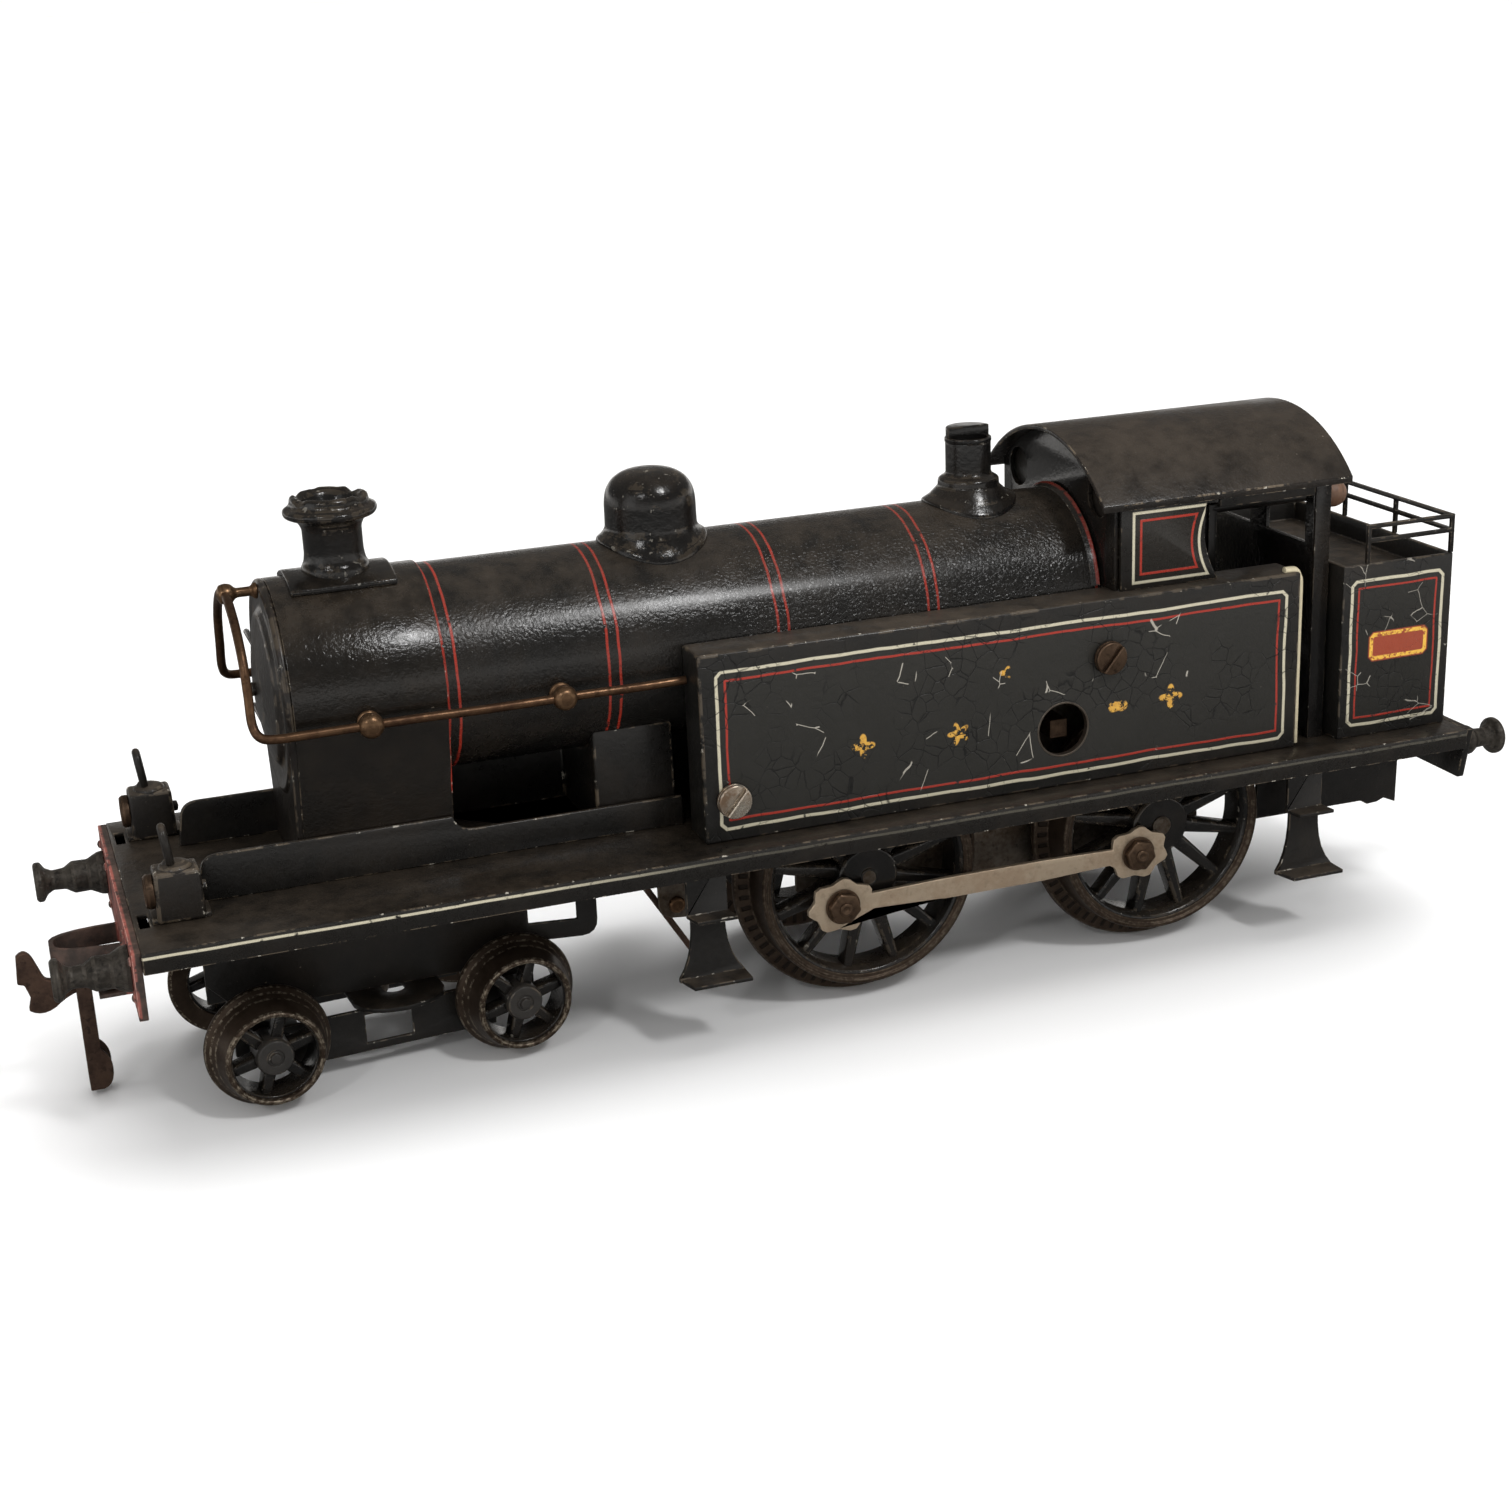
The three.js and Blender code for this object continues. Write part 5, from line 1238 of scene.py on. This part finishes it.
def bogie_wheelset(place):
    """Two six-spoked wheels on their axle, standing as the bogie is turned."""
    joint = JOINTS[f"{place}_bogie_spin"]
    centre = TO_MM @ Vector(joint["pos_m"])
    axis = Vector(joint["axis"])
    home = moved(*centre, math.degrees(math.atan2(-axis.x, axis.y)), "Z")
    tyre = [(9.9, 20.4), (14.0, 20.4), (14.6, 21.1), (14.4, 22.1), (13.3, 23.2), (12.5, 24.8), (11.9, 27.2),
            (11.35, 29.8), (11.0, 30.3), (10.3, 30.3), (9.9, 29.7)]
    rim = [(9.4, 21), (10.1, 21), (10.1, 29.0), (9.6, 28.8)]
    boss = [(0, 21.2), (4.2, 21.2), (4.4, 28.8), (4.0, 29.6), (2.0, 29.6), (1.9, 29.3), (1.3, 29.3),
            (1.2, 30.2), (0, 30.2)]
    half = [(1.65, 17), (2.6, 17), (2.6, 21.6), (1.65, 21.6), (1.65, 24), (0, 24)]
    shaft = [(r, -h) for r, h in reversed(half)] + half
    piece = Piece(f"{place}_bogie_wheels")
    for _, sign in SIDES:
        side = home @ sided(sign)
        piece.add(lathe(tyre, "y", ORIGIN, 0.3, 96, True), "bogie_tyre", side)
        piece.add(lathe(rim, "y", ORIGIN, 0.15, 96, True), "gloss", side)
        for k in range(6):
            bar = spoke(3.4, 9.8, 2.9, 2.4, 23.4, 27.6, 0.6)
            piece.add(bar, "gloss", side @ moved(0, 0, 0, 60 * k + 14))
        piece.add(lathe(boss, "y", ORIGIN, 0.25, 48), "boss", side)
    piece.add(lathe(shaft, "y", ORIGIN, 0.15, 28), "steel", home)
    piece.done(f"{place}_bogie_wheelset", body=f"{place}_bogie_wheels", slot="wheel_iron")


bogie_wheelset("front")
bogie_wheelset("rear")


# ---------------------------------------------------------------- floor, light and camera


def floor():
    """Plain pale floor, left out of reflections so that upright black faces stay black."""
    half = 60.0
    mesh = bpy.data.meshes.new("floor")
    corners = [(-half, -half, 0), (half, -half, 0), (half, half, 0), (-half, half, 0)]
    mesh.from_pydata(corners, [], [(0, 1, 2, 3)])
    g = Graph("pale_floor")
    tone = g.mix(g.noise(400, 2), (0.885, 0.885, 0.885), (0.9, 0.9, 0.9))
    mesh.materials.append(g.finish(tone, 0.6))
    obj = bpy.data.objects.new("floor", mesh)
    obj.visible_glossy = False
    bpy.context.scene.collection.objects.link(obj)


def light(name, place, target, size, power):
    """A rectangular lamp at a place, facing a target."""
    data = bpy.data.lights.new(name, "AREA")
    data.shape = "RECTANGLE"
    data.size, data.size_y = size
    data.energy = power
    obj = bpy.data.objects.new(name, data)
    obj.location = place
    obj.rotation_euler = (Vector(target) - Vector(place)).to_track_quat("-Z", "Y").to_euler()
    bpy.context.scene.collection.objects.link(obj)


def sky_panel(source, power, angle):
    """Soft light from a wide part of the sky, left out of reflections."""
    data = bpy.data.lights.new("sky_panel", "SUN")
    data.energy = power
    data.angle = math.radians(angle)
    obj = bpy.data.objects.new("sky_panel", data)
    obj.visible_glossy = False
    obj.rotation_euler = Vector(source).to_track_quat("Z", "Y").to_euler()
    bpy.context.scene.collection.objects.link(obj)


def studio_world(dim, bright):
    """A dim warm studio with a bright strip at the horizon, where the white floor runs out."""
    world = bpy.data.worlds.new("studio")
    world.use_nodes = True
    tree = world.node_tree
    background = tree.nodes["Background"]
    background.inputs["Color"].default_value = (1.0, 0.975, 0.94, 1)
    place = tree.nodes.new("ShaderNodeTexCoord")
    split = tree.nodes.new("ShaderNodeSeparateXYZ")
    level = tree.nodes.new("ShaderNodeMath")
    level.operation = "ABSOLUTE"
    strip = tree.nodes.new("ShaderNodeMapRange")
    strip.interpolation_type = "SMOOTHSTEP"
    for name, value in (("From Min", 0.04), ("From Max", 0.13), ("To Min", bright), ("To Max", dim)):
        strip.inputs[name].default_value = value
    tree.links.new(place.outputs["Generated"], split.inputs[0])
    tree.links.new(split.outputs["Z"], level.inputs[0])
    tree.links.new(level.outputs[0], strip.inputs["Value"])
    tree.links.new(strip.outputs["Result"], background.inputs["Strength"])
    bpy.context.scene.world = world


def camera(place, azimuth, elevation, roll, lens):
    """A camera that looks back along the given direction, turned by roll about its own axis."""
    a, e, r = (math.radians(v) for v in (azimuth, elevation, roll))
    back = Vector((math.sin(a) * math.cos(e), -math.cos(a) * math.cos(e), math.sin(e)))
    right = Vector((0, 0, 1)).cross(back).normalized()
    up = back.cross(right)
    axes = (right * math.cos(r) + up * math.sin(r), up * math.cos(r) - right * math.sin(r), back)
    data = bpy.data.cameras.new("camera")
    data.lens = lens
    data.sensor_width = 36.0
    data.clip_start = 0.01
    obj = bpy.data.objects.new("camera", data)
    obj.matrix_world = Matrix.Translation(place) @ Matrix(axes).transposed().to_4x4()
    bpy.context.scene.collection.objects.link(obj)
    bpy.context.scene.camera = obj


floor()
light("window", (-0.42, 0.95, 1.2), (0.02, 0, 0.08), (0.14, 0.26), 7)
light("front_fill", (1.3, 0.5, 0.5), (0.05, 0, 0.06), (0.7, 0.7), 1.0)
light("glint", (0.75, 0.85, 0.8), (0.02, 0, 0.08), (0.1, 0.1), 1.6)
sky_panel((-0.35, -0.3, 0.88), 2.3, 60)
sky_panel((0.1, 0.5, 0.86), 1.9, 170)
studio_world(0.15, 1.08)
bpy.context.scene.view_settings.view_transform = "Standard"
camera((0.18351, 0.50667, 0.23979), 160.91, 18.85, -2.48, 54.39)
